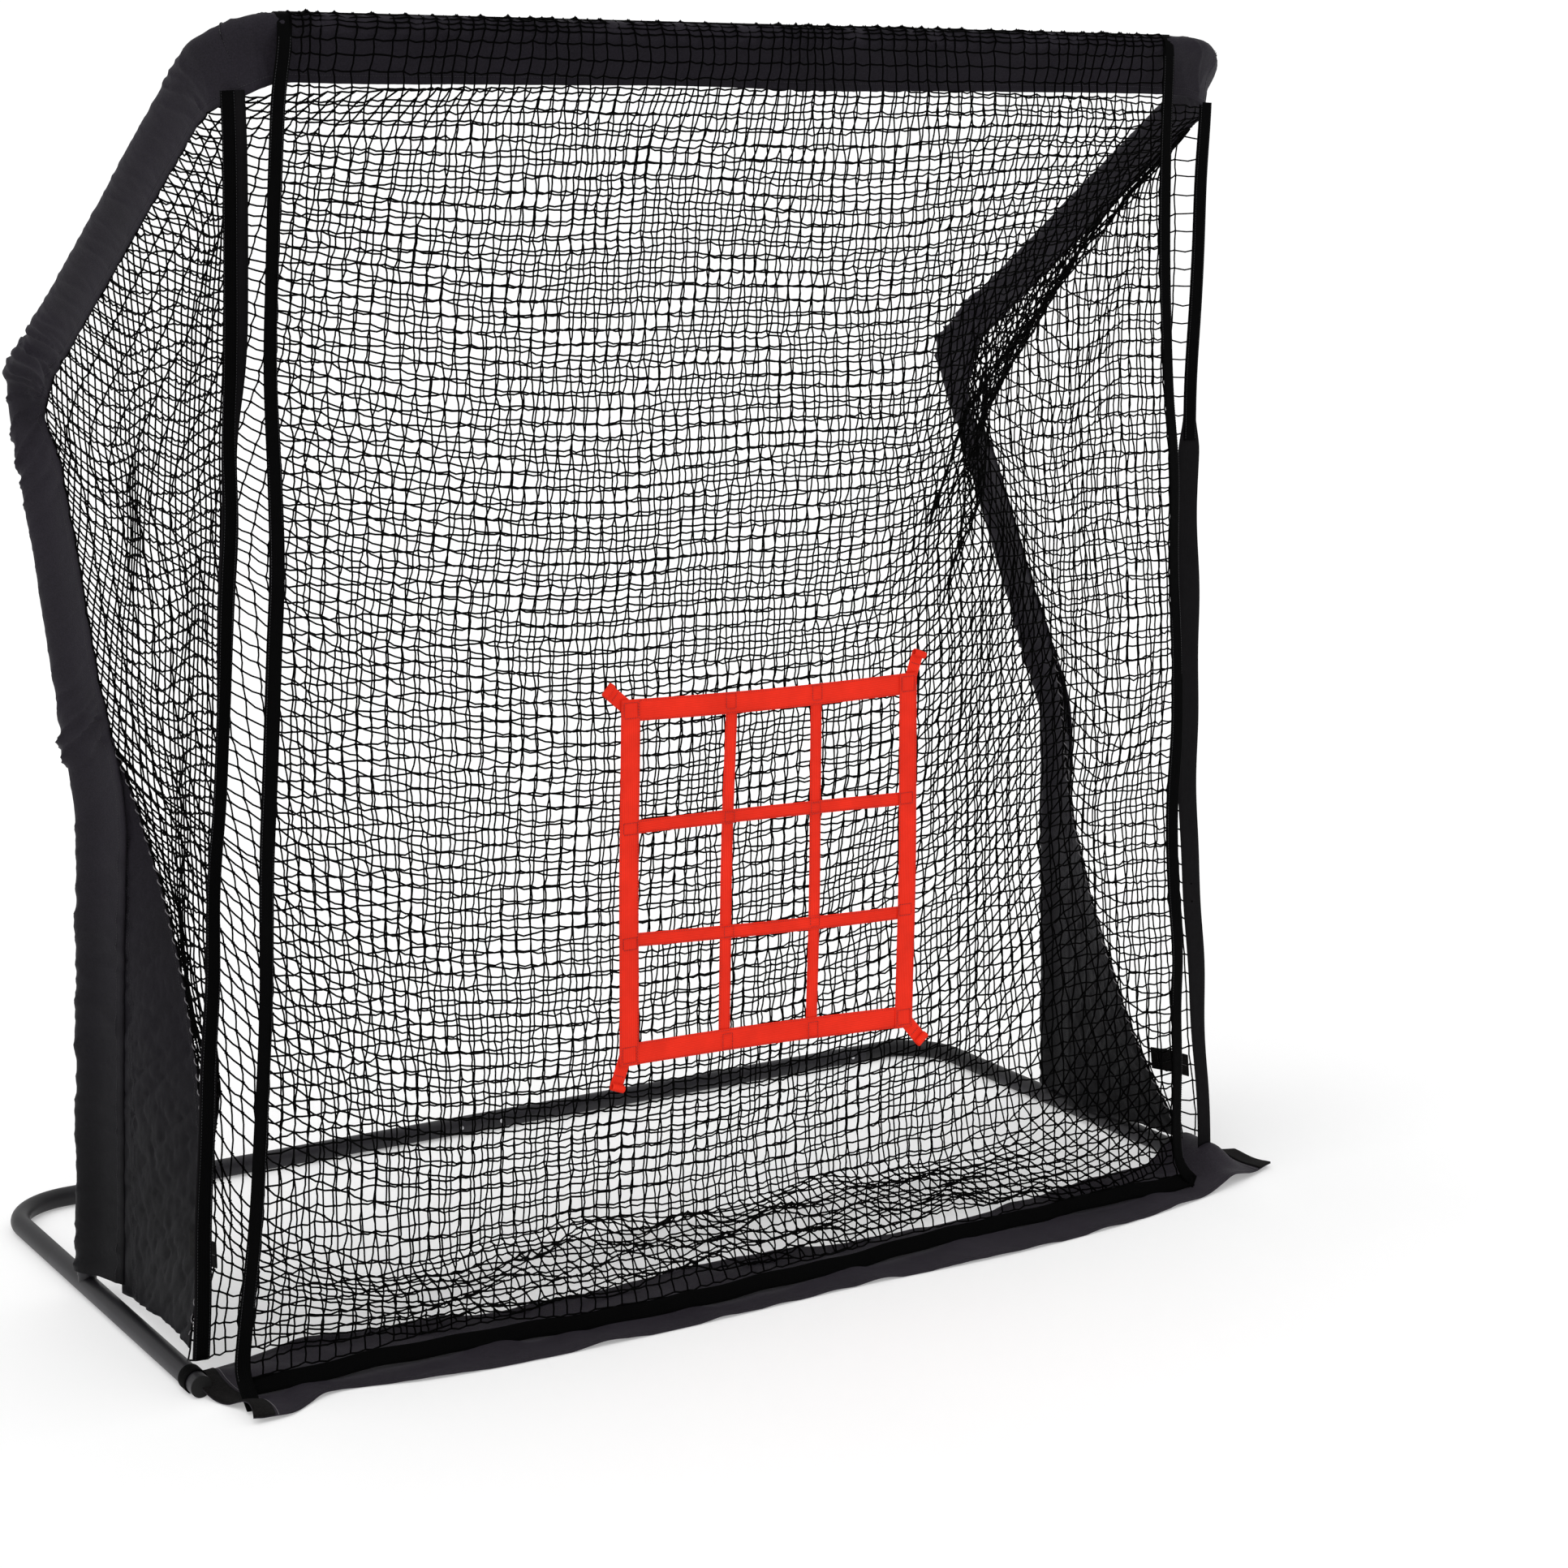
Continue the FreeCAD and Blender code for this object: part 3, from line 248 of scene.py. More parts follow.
def blobs(name, centres, radius, stretch=(1.0, 1.0, 1.0)):
    """Small knots at the given points."""
    shape = np.array([(1, 0, 0), (0, 1, 0), (-1, 0, 0), (0, -1, 0), (0, 0, 1), (0, 0, -1)], float)
    shape *= radius * np.asarray(stretch)
    triangles = [(0, 1, 4), (1, 2, 4), (2, 3, 4), (3, 0, 4), (1, 0, 5), (2, 1, 5), (3, 2, 5), (0, 3, 5)]
    vertices = (centres[:, None] + shape).reshape(-1, 3)
    faces = (np.arange(len(centres))[:, None, None] * len(shape) + np.array(triangles)).reshape(-1, 3)
    return mesh_object(name, vertices, faces)


def stitches(name, path, normal, length=0.0032, gap=0.0016, radius=0.00045, lift=0.0004):
    """A row of thread stitches along a path, just proud of the cloth."""
    path = np.asarray(path, float)
    reach = run_lengths(path)
    normal = np.broadcast_to(np.asarray(normal, float), path.shape)
    lines = []
    for start in np.arange(gap, reach[-1] - length, length + gap):
        at = start + length * np.array([0.0, 0.25, 0.75, 1.0])
        out = unit(along_run(at, reach, normal))
        lines.append(along_run(at, reach, path) + out * (lift * np.array([-1.0, 1.0, 1.0, -1.0]))[:, None])
    tangent = unit(path[-1] - path[0])
    reference = unit(np.cross(tangent, np.mean(normal, axis=0)) + 0.01)
    return cords(name, lines, radius, reference)


def dress(thing, material, body, slot, *nodes):
    """Gives a finished piece its material and its CAD body, and hides the CAD nodes it stands for. slot is
    not used.
    """
    thing.data.materials.clear()
    thing.data.materials.append(material)
    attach(thing, body)
    if nodes:
        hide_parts(*nodes)
    return thing


def sew(name, path, normal, thread, body, slot, **size):
    """A row of stitches, dressed in its thread."""
    dress(stitches(name, path, normal, **size), thread, body, slot)


# ---- materials


# The wave texture turns this many radians for each unit of its vector, at scale 1.
WAVES_PER_UNIT = 20


class Wiring:
    """A material's node tree, with short ways to add nodes and join them."""

    def __init__(self, name):
        self.material = bpy.data.materials.new(name)
        self.material.use_nodes = True
        self.tree = self.material.node_tree
        self.shader = self.tree.nodes["Principled BSDF"]

    def add(self, kind, inputs=None, **settings):
        node = self.tree.nodes.new(f"ShaderNode{kind}")
        for key, value in settings.items():
            setattr(node, key, value)
        for key, value in (inputs or {}).items():
            self.feed(node, key, value)
        return node

    def feed(self, node, key, value):
        if isinstance(value, bpy.types.NodeSocket):
            self.tree.links.new(value, node.inputs[key])
        else:
            node.inputs[key].default_value = value

    def math(self, operation, first, second=0.0):
        return self.add("Math", {0: first, 1: second}, operation=operation).outputs[0]

    def cloth_space(self):
        """Metres along and across the cloth's own surface."""
        return self.add("UVMap", uv_map=CLOTH_UV).outputs["UV"]

    def object_space(self):
        return self.add("TexCoord").outputs["Object"]

    def noise(self, vector, scale, detail=3.0, roughness=0.55):
        inputs = {"Vector": vector, "Scale": scale, "Detail": detail, "Roughness": roughness}
        return self.add("TexNoise", inputs).outputs["Fac"]

    def bands(self, vector, axis, period):
        """Even ridges across one axis, one for each period in metres."""
        inputs = {"Vector": vector, "Scale": 2 * math.pi / period / WAVES_PER_UNIT}
        return self.add("TexWave", inputs, wave_type="BANDS", bands_direction=axis).outputs["Fac"]

    def ramp(self, factor, low, high, dark, light):
        node = self.add("ValToRGB", {"Fac": factor})
        node.color_ramp.elements[0].position = low
        node.color_ramp.elements[1].position = high
        node.color_ramp.elements[0].color = (*dark, 1.0)
        node.color_ramp.elements[1].color = (*light, 1.0)
        return node.outputs["Color"]

    def blend(self, factor, first, second, mode="MIX"):
        node = self.add("Mix", data_type="RGBA", blend_type=mode)
        for key, value in ((0, factor), (6, first), (7, second)):
            self.feed(node, key, value)
        return node.outputs[2]

    def span(self, factor, low, high):
        """Turns a 0 to 1 value into one from low to high."""
        return self.add("MapRange", {"Value": factor, "To Min": low, "To Max": high}).outputs[0]

    def relief(self, height, distance, strength=1.0, under=None):
        inputs = {"Height": height, "Distance": distance, "Strength": strength}
        node = self.add("Bump", inputs)
        if under is not None:
            self.feed(node, "Normal", under)
        return node.outputs["Normal"]

    def finish(self, **inputs):
        for key, value in inputs.items():
            self.feed(self.shader, key.replace("_", " "), value)
        return self.material


def shade(colour, factor):
    """A lighter or darker tone of a colour."""
    return tuple(min(1.0, channel * factor) for channel in colour)


def woven_cloth(name, colour, sheen, floor_painted_shade, thread=0.0011):
    """Coated polyester with a plain weave. Painted shade darkens its colour towards the floor."""
    w = Wiring(name)
    place, body = w.cloth_space(), w.object_space()
    warp, weft = w.bands(place, "X", thread), w.bands(place, "Y", thread)
    weave = w.math("MAXIMUM", warp, weft)
    blotches = w.noise(body, 7.0)
    specks = w.noise(body, 420.0, 2.0)
    tone = w.ramp(blotches, 0.3, 0.72, shade(colour, 0.72), shade(colour, 1.3))
    speckled = w.blend(0.35, tone, w.ramp(specks, 0.35, 0.68, shade(colour, 0.5), shade(colour, 2.2)))
    # Painted shade: the colour is multiplied darker towards the floor, by height.
    height = w.add("SeparateXYZ", {"Vector": body}).outputs["Z"]
    low = (floor_painted_shade, floor_painted_shade, min(1.0, floor_painted_shade * 1.2))
    speckled = w.blend(1.0, speckled, w.ramp(height, 0.2, 1.0, low, (1, 1, 1)), "MULTIPLY")
    creases = w.relief(w.noise(body, 46.0, 5.0), 0.003, 0.4)
    return w.finish(
        Base_Color=speckled,
        Roughness=w.span(blotches, 0.55, 0.8),
        Normal=w.relief(weave, thread * 0.3, 0.5, creases),
        Sheen_Weight=sheen,
        Sheen_Roughness=0.4,
        Sheen_Tint=(0.80, 0.80, 0.92, 1.0),
        Specular_IOR_Level=0.14,
    )


def ribbed_webbing(name, colour, sheen, shine, rib=0.0026):
    """Flat webbing: ribs along its length, fine crosswise threads, slight random changes of tone, and
    painted shade in the grooves between the ribs.
    """
    w = Wiring(name)
    place, body = w.cloth_space(), w.object_space()
    ribs, threads = w.bands(place, "X", rib), w.bands(place, "Y", rib * 0.42)
    tone = w.ramp(w.noise(body, 18.0), 0.3, 0.7, shade(colour, 0.86), shade(colour, 1.1))
    # Painted shade: the grooves between the ribs are coloured darker.
    tone_with_painted_groove_shade = w.blend(w.span(ribs, 0.35, 0.0), tone, (*shade(colour, 0.45), 1.0))
    weave = w.math("ADD", w.math("MULTIPLY", ribs, 0.6), w.math("MULTIPLY", threads, 0.4))
    return w.finish(
        Base_Color=tone_with_painted_groove_shade,
        Roughness=w.span(w.noise(body, 120.0), 0.6, 0.85),
        Normal=w.relief(weave, 0.0005, 0.6),
        Sheen_Weight=sheen,
        Specular_IOR_Level=shine,
    )


def hook_and_loop(name, colour):
    """Dense pile: fine fuzzy relief, random in tone, with paler tips that are a painted highlight where the
    relief is raised.
    """
    w = Wiring(name)
    body = w.object_space()
    pile = w.add("TexVoronoi", {"Vector": body, "Scale": 620.0}).outputs["Distance"]
    fuzz = w.noise(body, 260.0, 4.0, 0.7)
    return w.finish(
        # Random tone and painted highlight: the colour is paler where the fuzz noise raises the pile.
        Base_Color=w.ramp(fuzz, 0.35, 0.75, shade(colour, 0.6), shade(colour, 2.4)),
        Roughness=w.span(fuzz, 0.8, 1.0),
        Normal=w.relief(w.math("ADD", pile, fuzz), 0.0012, 0.8),
        Sheen_Weight=0.02,
        Specular_IOR_Level=0.03,
    )


def twisted_cord(name, colour, twist=0.004):
    """Braided net cord. One plain colour, with the twist in its relief and its shine."""
    w = Wiring(name)
    body = w.object_space()
    wave = {"wave_type": "BANDS", "bands_direction": "DIAGONAL"}
    turns = w.add("TexWave", {"Vector": body, "Scale": 0.314 / twist}, **wave).outputs["Fac"]
    return w.finish(
        Base_Color=(*colour, 1.0),
        Roughness=w.span(w.noise(body, 30.0), 0.55, 0.8),
        Normal=w.relief(turns, 0.0004, 0.6),
        Specular_IOR_Level=0.02,
    )


def sewing_thread(name, colour):
    """Shiny spun thread with a faint twist."""
    w = Wiring(name)
    body = w.object_space()
    return w.finish(
        Base_Color=w.ramp(w.noise(body, 60.0), 0.3, 0.7, shade(colour, 0.75), shade(colour, 1.2)),
        Roughness=w.span(w.noise(body, 300.0), 0.4, 0.6),
        Normal=w.relief(w.noise(body, 1500.0), 0.0002, 0.5),
    )


def powder_coat(name, colour):
    """Satin powder coat on steel: fine orange peel, dusty patches, scuffs on outer edges."""
    w = Wiring(name)
    body = w.object_space()
    dust = w.noise(body, 5.0, 5.0)
    scuff = w.noise(body, 90.0, 6.0, 0.7)
    edge = w.ramp(w.add("NewGeometry").outputs["Pointiness"], 0.53, 0.62, (0, 0, 0), (1, 1, 1))
    rubbed = w.math("MULTIPLY", edge, w.span(scuff, 0.0, 0.9))
    tone = w.ramp(dust, 0.32, 0.7, shade(colour, 0.8), shade(colour, 1.35))
    return w.finish(
        Base_Color=w.blend(rubbed, tone, (*shade(colour, 5.0), 1.0)),
        Roughness=w.span(dust, 0.38, 0.56),
        Normal=w.relief(w.noise(body, 700.0, 2.0), 0.0004, 0.3),
        Specular_IOR_Level=0.32,
    )


def zinc(name, colour):
    """Zinc-plated spring steel: brushed, with cloudy patches."""
    w = Wiring(name)
    body = w.object_space()
    brush = w.noise(w.add("Mapping", {"Vector": body, "Scale": (40.0, 900.0, 900.0)}).outputs[0], 1.0)
    cloud = w.noise(body, 160.0)
    return w.finish(
        Base_Color=w.ramp(cloud, 0.3, 0.7, shade(colour, 0.8), shade(colour, 1.1)),
        Metallic=1.0,
        Roughness=w.span(brush, 0.25, 0.45),
        Normal=w.relief(brush, 0.0001, 0.4),
    )


def moulded_plastic(name, colour):
    """Matt moulded plastic with a light spark texture and paler rubbed edges."""
    w = Wiring(name)
    body = w.object_space()
    spark = w.noise(body, 900.0, 2.0)
    edge = w.ramp(w.add("NewGeometry").outputs["Pointiness"], 0.52, 0.6, (0, 0, 0), (1, 1, 1))
    tone = w.ramp(w.noise(body, 40.0), 0.3, 0.7, shade(colour, 0.8), shade(colour, 1.2))
    return w.finish(
        Base_Color=w.blend(w.math("MULTIPLY", edge, 0.5), tone, (*shade(colour, 3.0), 1.0)),
        Roughness=w.span(spark, 0.5, 0.7),
        Normal=w.relief(spark, 0.0003, 0.4),
        Specular_IOR_Level=0.2,
    )


# Each cloth's last value is its painted shade near the floor: 0.10 darkens the sleeve cloth there, 1.0
# leaves the skirt cloth even.
SLEEVE_CLOTH = woven_cloth("sleeve_cloth", (0.0115, 0.0095, 0.0140), 0.03, 0.10)
SKIRT_CLOTH = woven_cloth("skirt_cloth", (0.0170, 0.0140, 0.0195), 0.03, 1.0)
BLACK_WEBBING = ribbed_webbing("black_webbing", (0.0014, 0.0014, 0.0015), 0.0, 0.03)
EDGE_WEBBING = ribbed_webbing("edge_webbing", (0.0065, 0.0060, 0.0068), 0.0, 0.05)
RED_WEBBING = ribbed_webbing("red_webbing", (0.95, 0.030, 0.011), 0.0, 0.12)
PILE = hook_and_loop("pile", (0.0060, 0.0055, 0.0055))
NET_CORD = twisted_cord("net_cord", (0.0010, 0.0010, 0.0010))
BLACK_THREAD = sewing_thread("black_thread", (0.014, 0.014, 0.017))
GREY_THREAD = sewing_thread("grey_thread", (0.16, 0.15, 0.16))
RED_THREAD = sewing_thread("red_thread", (0.42, 0.008, 0.005))
STEEL = powder_coat("steel", (0.0050, 0.0046, 0.0060))
ZINC = zinc("zinc", (0.62, 0.62, 0.64))
PLASTIC = moulded_plastic("plastic", (0.004, 0.004, 0.004))

# ---- sleeves

STATION = 0.006
SLEEVE_RADIUS = 0.0192
SLEEVE_EDGE = 0.0022
TOP_RADIUS = 0.0190
TOP_REACH = 0.092
ROUND_POINTS, FLANK_POINTS = 15, 15
TIP = ROUND_POINTS + FLANK_POINTS
SECTION_POINTS = 2 * TIP - ROUND_POINTS + 1
ARM = unit(CORNER - KNEE)


def corner_bend(sign, start, end):
    """Part of a top corner's bend, from its arm end (0 degrees) to its bar end (90)."""
    angle = np.radians(np.linspace(start, end, 22))
    centre = np.array([sign * (SPAN - CORNER_BEND), *(CORNER - ARM * CORNER_BEND)])
    along = np.array([0.0, *ARM])
    return centre + CORNER_BEND * (np.cos(angle)[:, None] * RIGHT * sign + np.sin(angle)[:, None] * along)


def soften(path, passes):
    """Rounds a path's sharp corners; its ends stay."""
    path = path.copy()
    for _ in range(passes):
        path[1:-1] = (path[:-2] + 2 * path[1:-1] + path[2:]) / 4
    return path


def rounded(corners, bends):
    """A path of close stations through flat corners, rounded as the tube is bent."""
    path, start = [], corners[0]
    for before, corner, after, bend in zip(corners[:-2], corners[1:-1], corners[2:], bends):
        back, ahead = unit(before - corner), unit(after - corner)
        half_turn = (math.pi - math.acos(float(np.dot(back, ahead)))) / 2
        leg = bend * math.tan(half_turn)
        first, last = corner + back * leg, corner + ahead * leg
        path.append(np.linspace(start, first, max(2, int(np.linalg.norm(first - start) / STATION)))[:-1])
        t = np.linspace(0, 1, max(3, int(2 * leg / STATION)))[:-1, None]
        path.append((1 - t) ** 2 * first + 2 * t * (1 - t) * corner + t**2 * last)
        start = last
    path.append(np.linspace(start, corners[-1], int(np.linalg.norm(corners[-1] - start) / STATION))[:-1])
    return np.concatenate(path)


def side_path(sign):
    """Centreline from the post's foot round the knee and halfway through the top corner."""
    corners = [np.array([POST_Y, FOOT_Z]), KINK, KNEE, CORNER - ARM * CORNER_BEND]
    flat = rounded(corners, [KINK_BEND, KNEE_BEND])
    straight = np.column_stack([np.full(len(flat), sign * SPAN), flat])
    return soften(np.concatenate([straight, corner_bend(sign, 0, 45)]), 3)


def sleeve_section(radius, reach, sag):
    """Sections as (towards the flat edge, sideways), with outward directions and shares round."""
    angle = np.radians(np.linspace(-90, 90, ROUND_POINTS))
    back = np.column_stack([-np.cos(angle), np.sin(angle)])
    rounded_back = back[None] * radius[:, None, None]
    rounded_back[..., 0] *= (1 + sag / radius)[:, None]
    share = np.linspace(0.05, 1.0, FLANK_POINTS)
    depth = share[None, :] * reach[:, None]
    half = SLEEVE_EDGE + (radius[:, None] - SLEEVE_EDGE) * np.exp(-((depth / 0.032) ** 2))
    half = half + 0.0011 * (smoothstep(0.86, 0.9, share) - smoothstep(0.985, 1.0, share))
    flank = np.stack([depth, half], axis=-1)
    mirror = flank[:, ::-1] * np.array([1.0, -1.0])
    tip = np.column_stack([reach + 0.0015, np.zeros(len(reach))])[:, None]
    section = np.concatenate([rounded_back, flank, tip, mirror], axis=1)
    flat = np.repeat([[0.0, 1.0]], FLANK_POINTS, axis=0)
    outwards = np.concatenate([back, flat, [[1.0, 0.0]], -flat])
    rounds = np.linspace(-0.35, 0.35, ROUND_POINTS)
    sides = 0.4 + 0.6 * share
    return section, outwards, np.concatenate([rounds, sides, [1.0], -sides[::-1]])


def bunching(along, around, crowds, seed):
    """Cloth folds across the sleeve, deep where it is bunched; each crowd is (place, spread, rise)."""
    depth = np.full(along.shape, 0.0011)
    for place, spread, rise in crowds:
        depth = depth + rise * bump(along, place, spread)
    local = np.stack(np.broadcast_arrays(along[:, None], around[None] * 0.045, 0.0), axis=-1)
    wide = 0.5 + 0.5 * ripple(local * [1, 0.5, 0], 0.085, seed)
    narrow = ridges(local, 0.050, seed + 1)
    slanted = ridges(local @ np.array([[1, 0.3, 0], [1.1, 1, 0], [0, 0, 1.0]]), 0.080, seed + 2)
    return depth[:, None] * (0.8 * wide + 0.8 * narrow + 1.1 * slanted - 0.6)


def sleeve(name, path, tips, radius, sag, crowds, seed):
    """Lofted fabric sleeve. tips holds the place of its flat edge for each station."""
    along = run_lengths(path)
    tangent = unit(np.gradient(path, axis=0))
    hang, reach = unit(tips - path), np.linalg.norm(tips - path, axis=1)
    sideways = unit(np.cross(tangent, hang))
    section, outwards, around = sleeve_section(radius, reach, sag)
    lift = bunching(along, around, crowds, seed)
    lift = lift * np.where(np.abs(around) > 0.95, 0.3, 1.0)
    rings = path[:, None] + section[..., :1] * hang[:, None] + section[..., 1:] * sideways[:, None]
    push = outwards[:, :1] * hang[:, None] + outwards[:, 1:] * sideways[:, None]
    rings = rings + push * np.maximum(lift, -0.0005)[..., None]
    count, size = rings.shape[:2]
    girth = np.cumsum(np.linalg.norm(np.roll(section[0], -1, axis=0) - section[0], axis=1))
    uv = np.stack(np.broadcast_arrays(girth[None, :], along[:, None]), axis=-1).reshape(-1, 2)
    thing = mesh_object(name, rings.reshape(-1, 3), grid_faces(count, size, wrap=True), uv)
    for label, row, way in (("a", TIP - 3, sideways), ("b", TIP + 3, -sideways)):
        sew(f"{name}_stitches_{label}", rings[:, row], way, BLACK_THREAD, "frame", "black_cloth")
    return thing, rings[:, TIP]


# How far the flat edge stands from the tube: on the post by height, then on the arm and at the mitre.
POST_REACH = (
    [0.05, 0.70, 0.84, 0.93, 1.00, 1.11, 1.25, 1.36],
    [0.113, 0.113, 0.118, 0.112, 0.104, 0.102, 0.102, 0.098],
)
ARM_REACH = 0.078
MITRE_REACH = 0.101
EDGE_DRAWN_IN = 0.25
# The flat edge round each knee: how far along from the knee, then its place back and its height.
KNEE_NOTCH = {
    "left": [(-0.19, 0.768, 1.454), (-0.10, 0.852, 1.512), (0.00, 0.826, 1.545), (0.12, 0.788, 1.576)],
    "right": [(-0.24, 0.756, 1.405), (-0.18, 0.814, 1.442), (0.00, 0.800, 1.520), (0.13, 0.781, 1.588)],
}
AT_MITRE = np.array([0.24, -0.15, -0.96])


def side_tips(side, path, along, knee):
    """The flat edge of a post and arm sleeve: inside the frame, notched at the knee, down at the mitre."""
    sign, height, end = SIDES[side], path[:, 2], along[-1]
    tangent = unit(np.gradient(path, axis=0))
    square = unit(np.column_stack([np.zeros(len(path)), -tangent[:, 2], tangent[:, 1]]))
    above = smoothstep(knee - 0.05, knee + 0.05, along)
    reach = through(*POST_REACH, height) * (1 - above) + ARM_REACH * above
    tips = path + unit(square - sign * RIGHT * EDGE_DRAWN_IN) * reach[:, None]
    notch = np.array(KNEE_NOTCH[side])
    stations = knee + notch[:, 0]
    near = (along > stations[0]) & (along < stations[-1])
    for axis in (1, 2):
        tips[near, axis] = np.interp(along[near], stations, notch[:, axis])
    tips = soften(tips, 10)
    at_mitre = path + AT_MITRE * [-sign, 1, 1] * MITRE_REACH
    into_mitre = smoothstep(end - 0.17, end, along)[:, None]
    return tips * (1 - into_mitre) + at_mitre * into_mitre


def arm_sleeves():
    """Post and arm sleeves, bunched at the knee, the kink, the foot and the top corner."""
    edges = {}
    for side, sign in SIDES.items():
        path = side_path(sign)
        along = run_lengths(path)
        knee = along[np.argmax(path[:, 1])]
        kink, end = KINK[1] - FOOT_Z, along[-1]
        loose = 0.0022 * smoothstep(knee - 0.05, knee + 0.05, along) * smoothstep(end, end - 0.1, along)
        radius = SLEEVE_RADIUS + loose
        radius = radius + (TOP_RADIUS - radius) * smoothstep(end - 0.06, end, along)
        sag = 0.007 * bump(along, knee - 0.045, 0.05) + 0.003 * bump(along, kink + 0.35, 0.12)
        crowds = [
            (knee + 0.13, 0.10, 0.0070),
            (knee, 0.06, 0.0060),
            (knee - 0.14, 0.09, 0.0045),
            (kink + 0.15, 0.07, 0.0060),
            (kink * 0.6, 0.30, 0.0022),
            (0.0, 0.10, 0.0030),
            (end - 0.12, 0.05, 0.0026),
        ]
        tips = side_tips(side, path, along, knee)
        thing, edge = sleeve(f"sleeve_{side}", path, tips, radius, sag, crowds, 20 + sign)
        dress(thing, SLEEVE_CLOTH, "frame", "black_cloth", f"arm_sleeve_{side}", f"corner_sleeve_{side}")
        edges[side] = edge
    return edges


def top_sleeve():
    """Sleeve of the top bar, from mitre to mitre, with its flat edge hanging a little to the back."""
    left, right = corner_bend(-1, 45, 90), corner_bend(1, 45, 90)[::-1]
    count = int((right[0][0] - left[-1][0]) / STATION)
    bar = left[-1] + (right[0] - left[-1]) * np.linspace(0, 1, count)[:, None]
    path = np.concatenate([left[:-1], bar, right[1:]])
    along = run_lengths(path)
    ends = np.minimum(along, along[-1] - along)
    straight = smoothstep(0.0, 0.14, ends)[:, None]
    at_mitre = AT_MITRE * np.stack([-np.sign(path[:, 0]), *np.ones((2, len(path)))], axis=1)
    reach = TOP_REACH + 0.002 * ripple(path, 0.5, 31) * straight[:, 0]
    hanging = path + unit(BACK * 0.16 - UP) * reach[:, None]
    tips = (path + at_mitre * MITRE_REACH) * (1 - straight) + hanging * straight
    radius, sag = np.full(len(path), TOP_RADIUS), np.zeros(len(path))
    crowds = [(0.06, 0.05, 0.0012), (along[-1] - 0.06, 0.05, 0.0012)]
    thing, edge = sleeve("sleeve_top", path, tips, radius, sag, crowds, 30)
    dress(thing, SLEEVE_CLOTH, "frame", "black_cloth", "top_sleeve")
    for side, ring in (("left", 0), ("right", -1)):
        mitre_seam(side, thing, ring)
    return edge


def mitre_seam(side, thing, ring):
    """Stitches down the mitre where a top corner's two sleeves are sewn together."""
    rings = np.array([vertex.co for vertex in thing.data.vertices]).reshape(-1, SECTION_POINTS, 3)
    rim = rings[ring]
    for label, points in (("front", rim[TIP:]), ("rear", rim[:TIP])):
        away = unit(points - points.mean(axis=0))
        name = f"mitre_stitches_{label}_{side}"
        sew(name, points + away * CLOTH, away, BLACK_THREAD, "frame", "black_cloth", radius=0.0009)


# ---- gussets

GUSSET_FOOT, GUSSET_TOP = 0.050, 0.98


def gusset_front(height):
    """Front edge of a gusset: how far back it is, and how far the net pulls it inwards."""
    heights = [0.05, 0.20, 0.42, 0.68, 0.88, 0.98]
    return (
        through(heights, [0.085, 0.148, 0.240, 0.358, 0.440, 0.492], height),
        through(heights, [0.012, 0.060, 0.090, 0.083, 0.048, 0.026], height),
    )


def edge_at(edge, height):
    """Place back and sideways of a sleeve's flat edge below the knee, at a height."""
    below = edge[: np.argmax(edge[:, 1])]
    below = below[np.argsort(below[:, 2])]
    return tuple(np.interp(height, below[:, 2], below[:, axis]) for axis in (1, 0))


def gussets(edges):
    """Cloth triangles sewn into the post sleeves' flat edges, creased by the pull of the net."""
    for side, sign in SIDES.items():
        height, share = np.meshgrid(np.linspace(GUSSET_FOOT, GUSSET_TOP, 130), np.linspace(0, 1, 60))
        rear_y, rear_x = edge_at(edges[side], height)
        front_y, pull = gusset_front(height)
        rear_y = np.maximum(rear_y + 0.012, front_y + 0.002)
        front_y = np.minimum(front_y, rear_y)
        y = rear_y + (front_y - rear_y) * share
        front_x = sign * (SPAN - pull)
        x = rear_x + (front_x - rear_x) * share**1.5
        rise = (height - GUSSET_FOOT) / (GUSSET_TOP - GUSSET_FOOT)
        foot = -0.022 * smoothstep(0.75, 0.0, share) * smoothstep(0.12, 0.0, rise)
        points = np.stack([x, y, height + foot], axis=-1)
        fan = (height - 0.10) * 0.9 + (y - 0.45) * 0.8
        pulled = 0.0035 * ridges(np.stack([fan, share * 0.05, share * 0], axis=-1), 0.10, 41)
        crumple = 0.0030 * ridges(points, 0.06, 43) + 0.0015 * ridges(points, 0.028, 44)
        free = smoothstep(0.0, 0.12, share) * smoothstep(1.0, 0.9, share)
        points[..., 0] -= sign * (pulled + crumple) * free
        cloth = thick_sheet(f"gusset_cloth_{side}", points)
        dress(cloth, SLEEVE_CLOTH, "frame", "black_cloth", f"gusset_{side}")
        for label, at in (("front", -4), ("rear", 8), ("rear_twin", 11)):
            row = points[at] + sign * RIGHT * CLOTH * 0.6
            name = f"gusset_stitches_{label}_{side}"
            sew(name, row, sign * RIGHT, BLACK_THREAD, "frame", "black_cloth")
        lace_gusset(side, points[-1])


def lace_gusset(side, edge):
    """Cord that whips the side net to the gusset's front edge, one turn for each mesh."""
    along = run_lengths(edge)
    turns = int(along[-1] / MESH_PITCH)
    share = np.linspace(0.02, 0.98, turns * 10)
    core = along_run(share * along[-1], along, edge)
    angle = 2 * math.pi * turns * share
    loop = 0.0035
    lace = core + loop * (np.cos(angle)[:, None] * BACK + np.sin(angle)[:, None] * RIGHT)
    thing = cords(f"gusset_lacing_{side}", [lace], 0.0010, UP * 0.3 + RIGHT, 5)
    dress(thing, GREY_THREAD, "frame", "net_cord")


# ---- nets

STRAP_WIDTH = 0.026


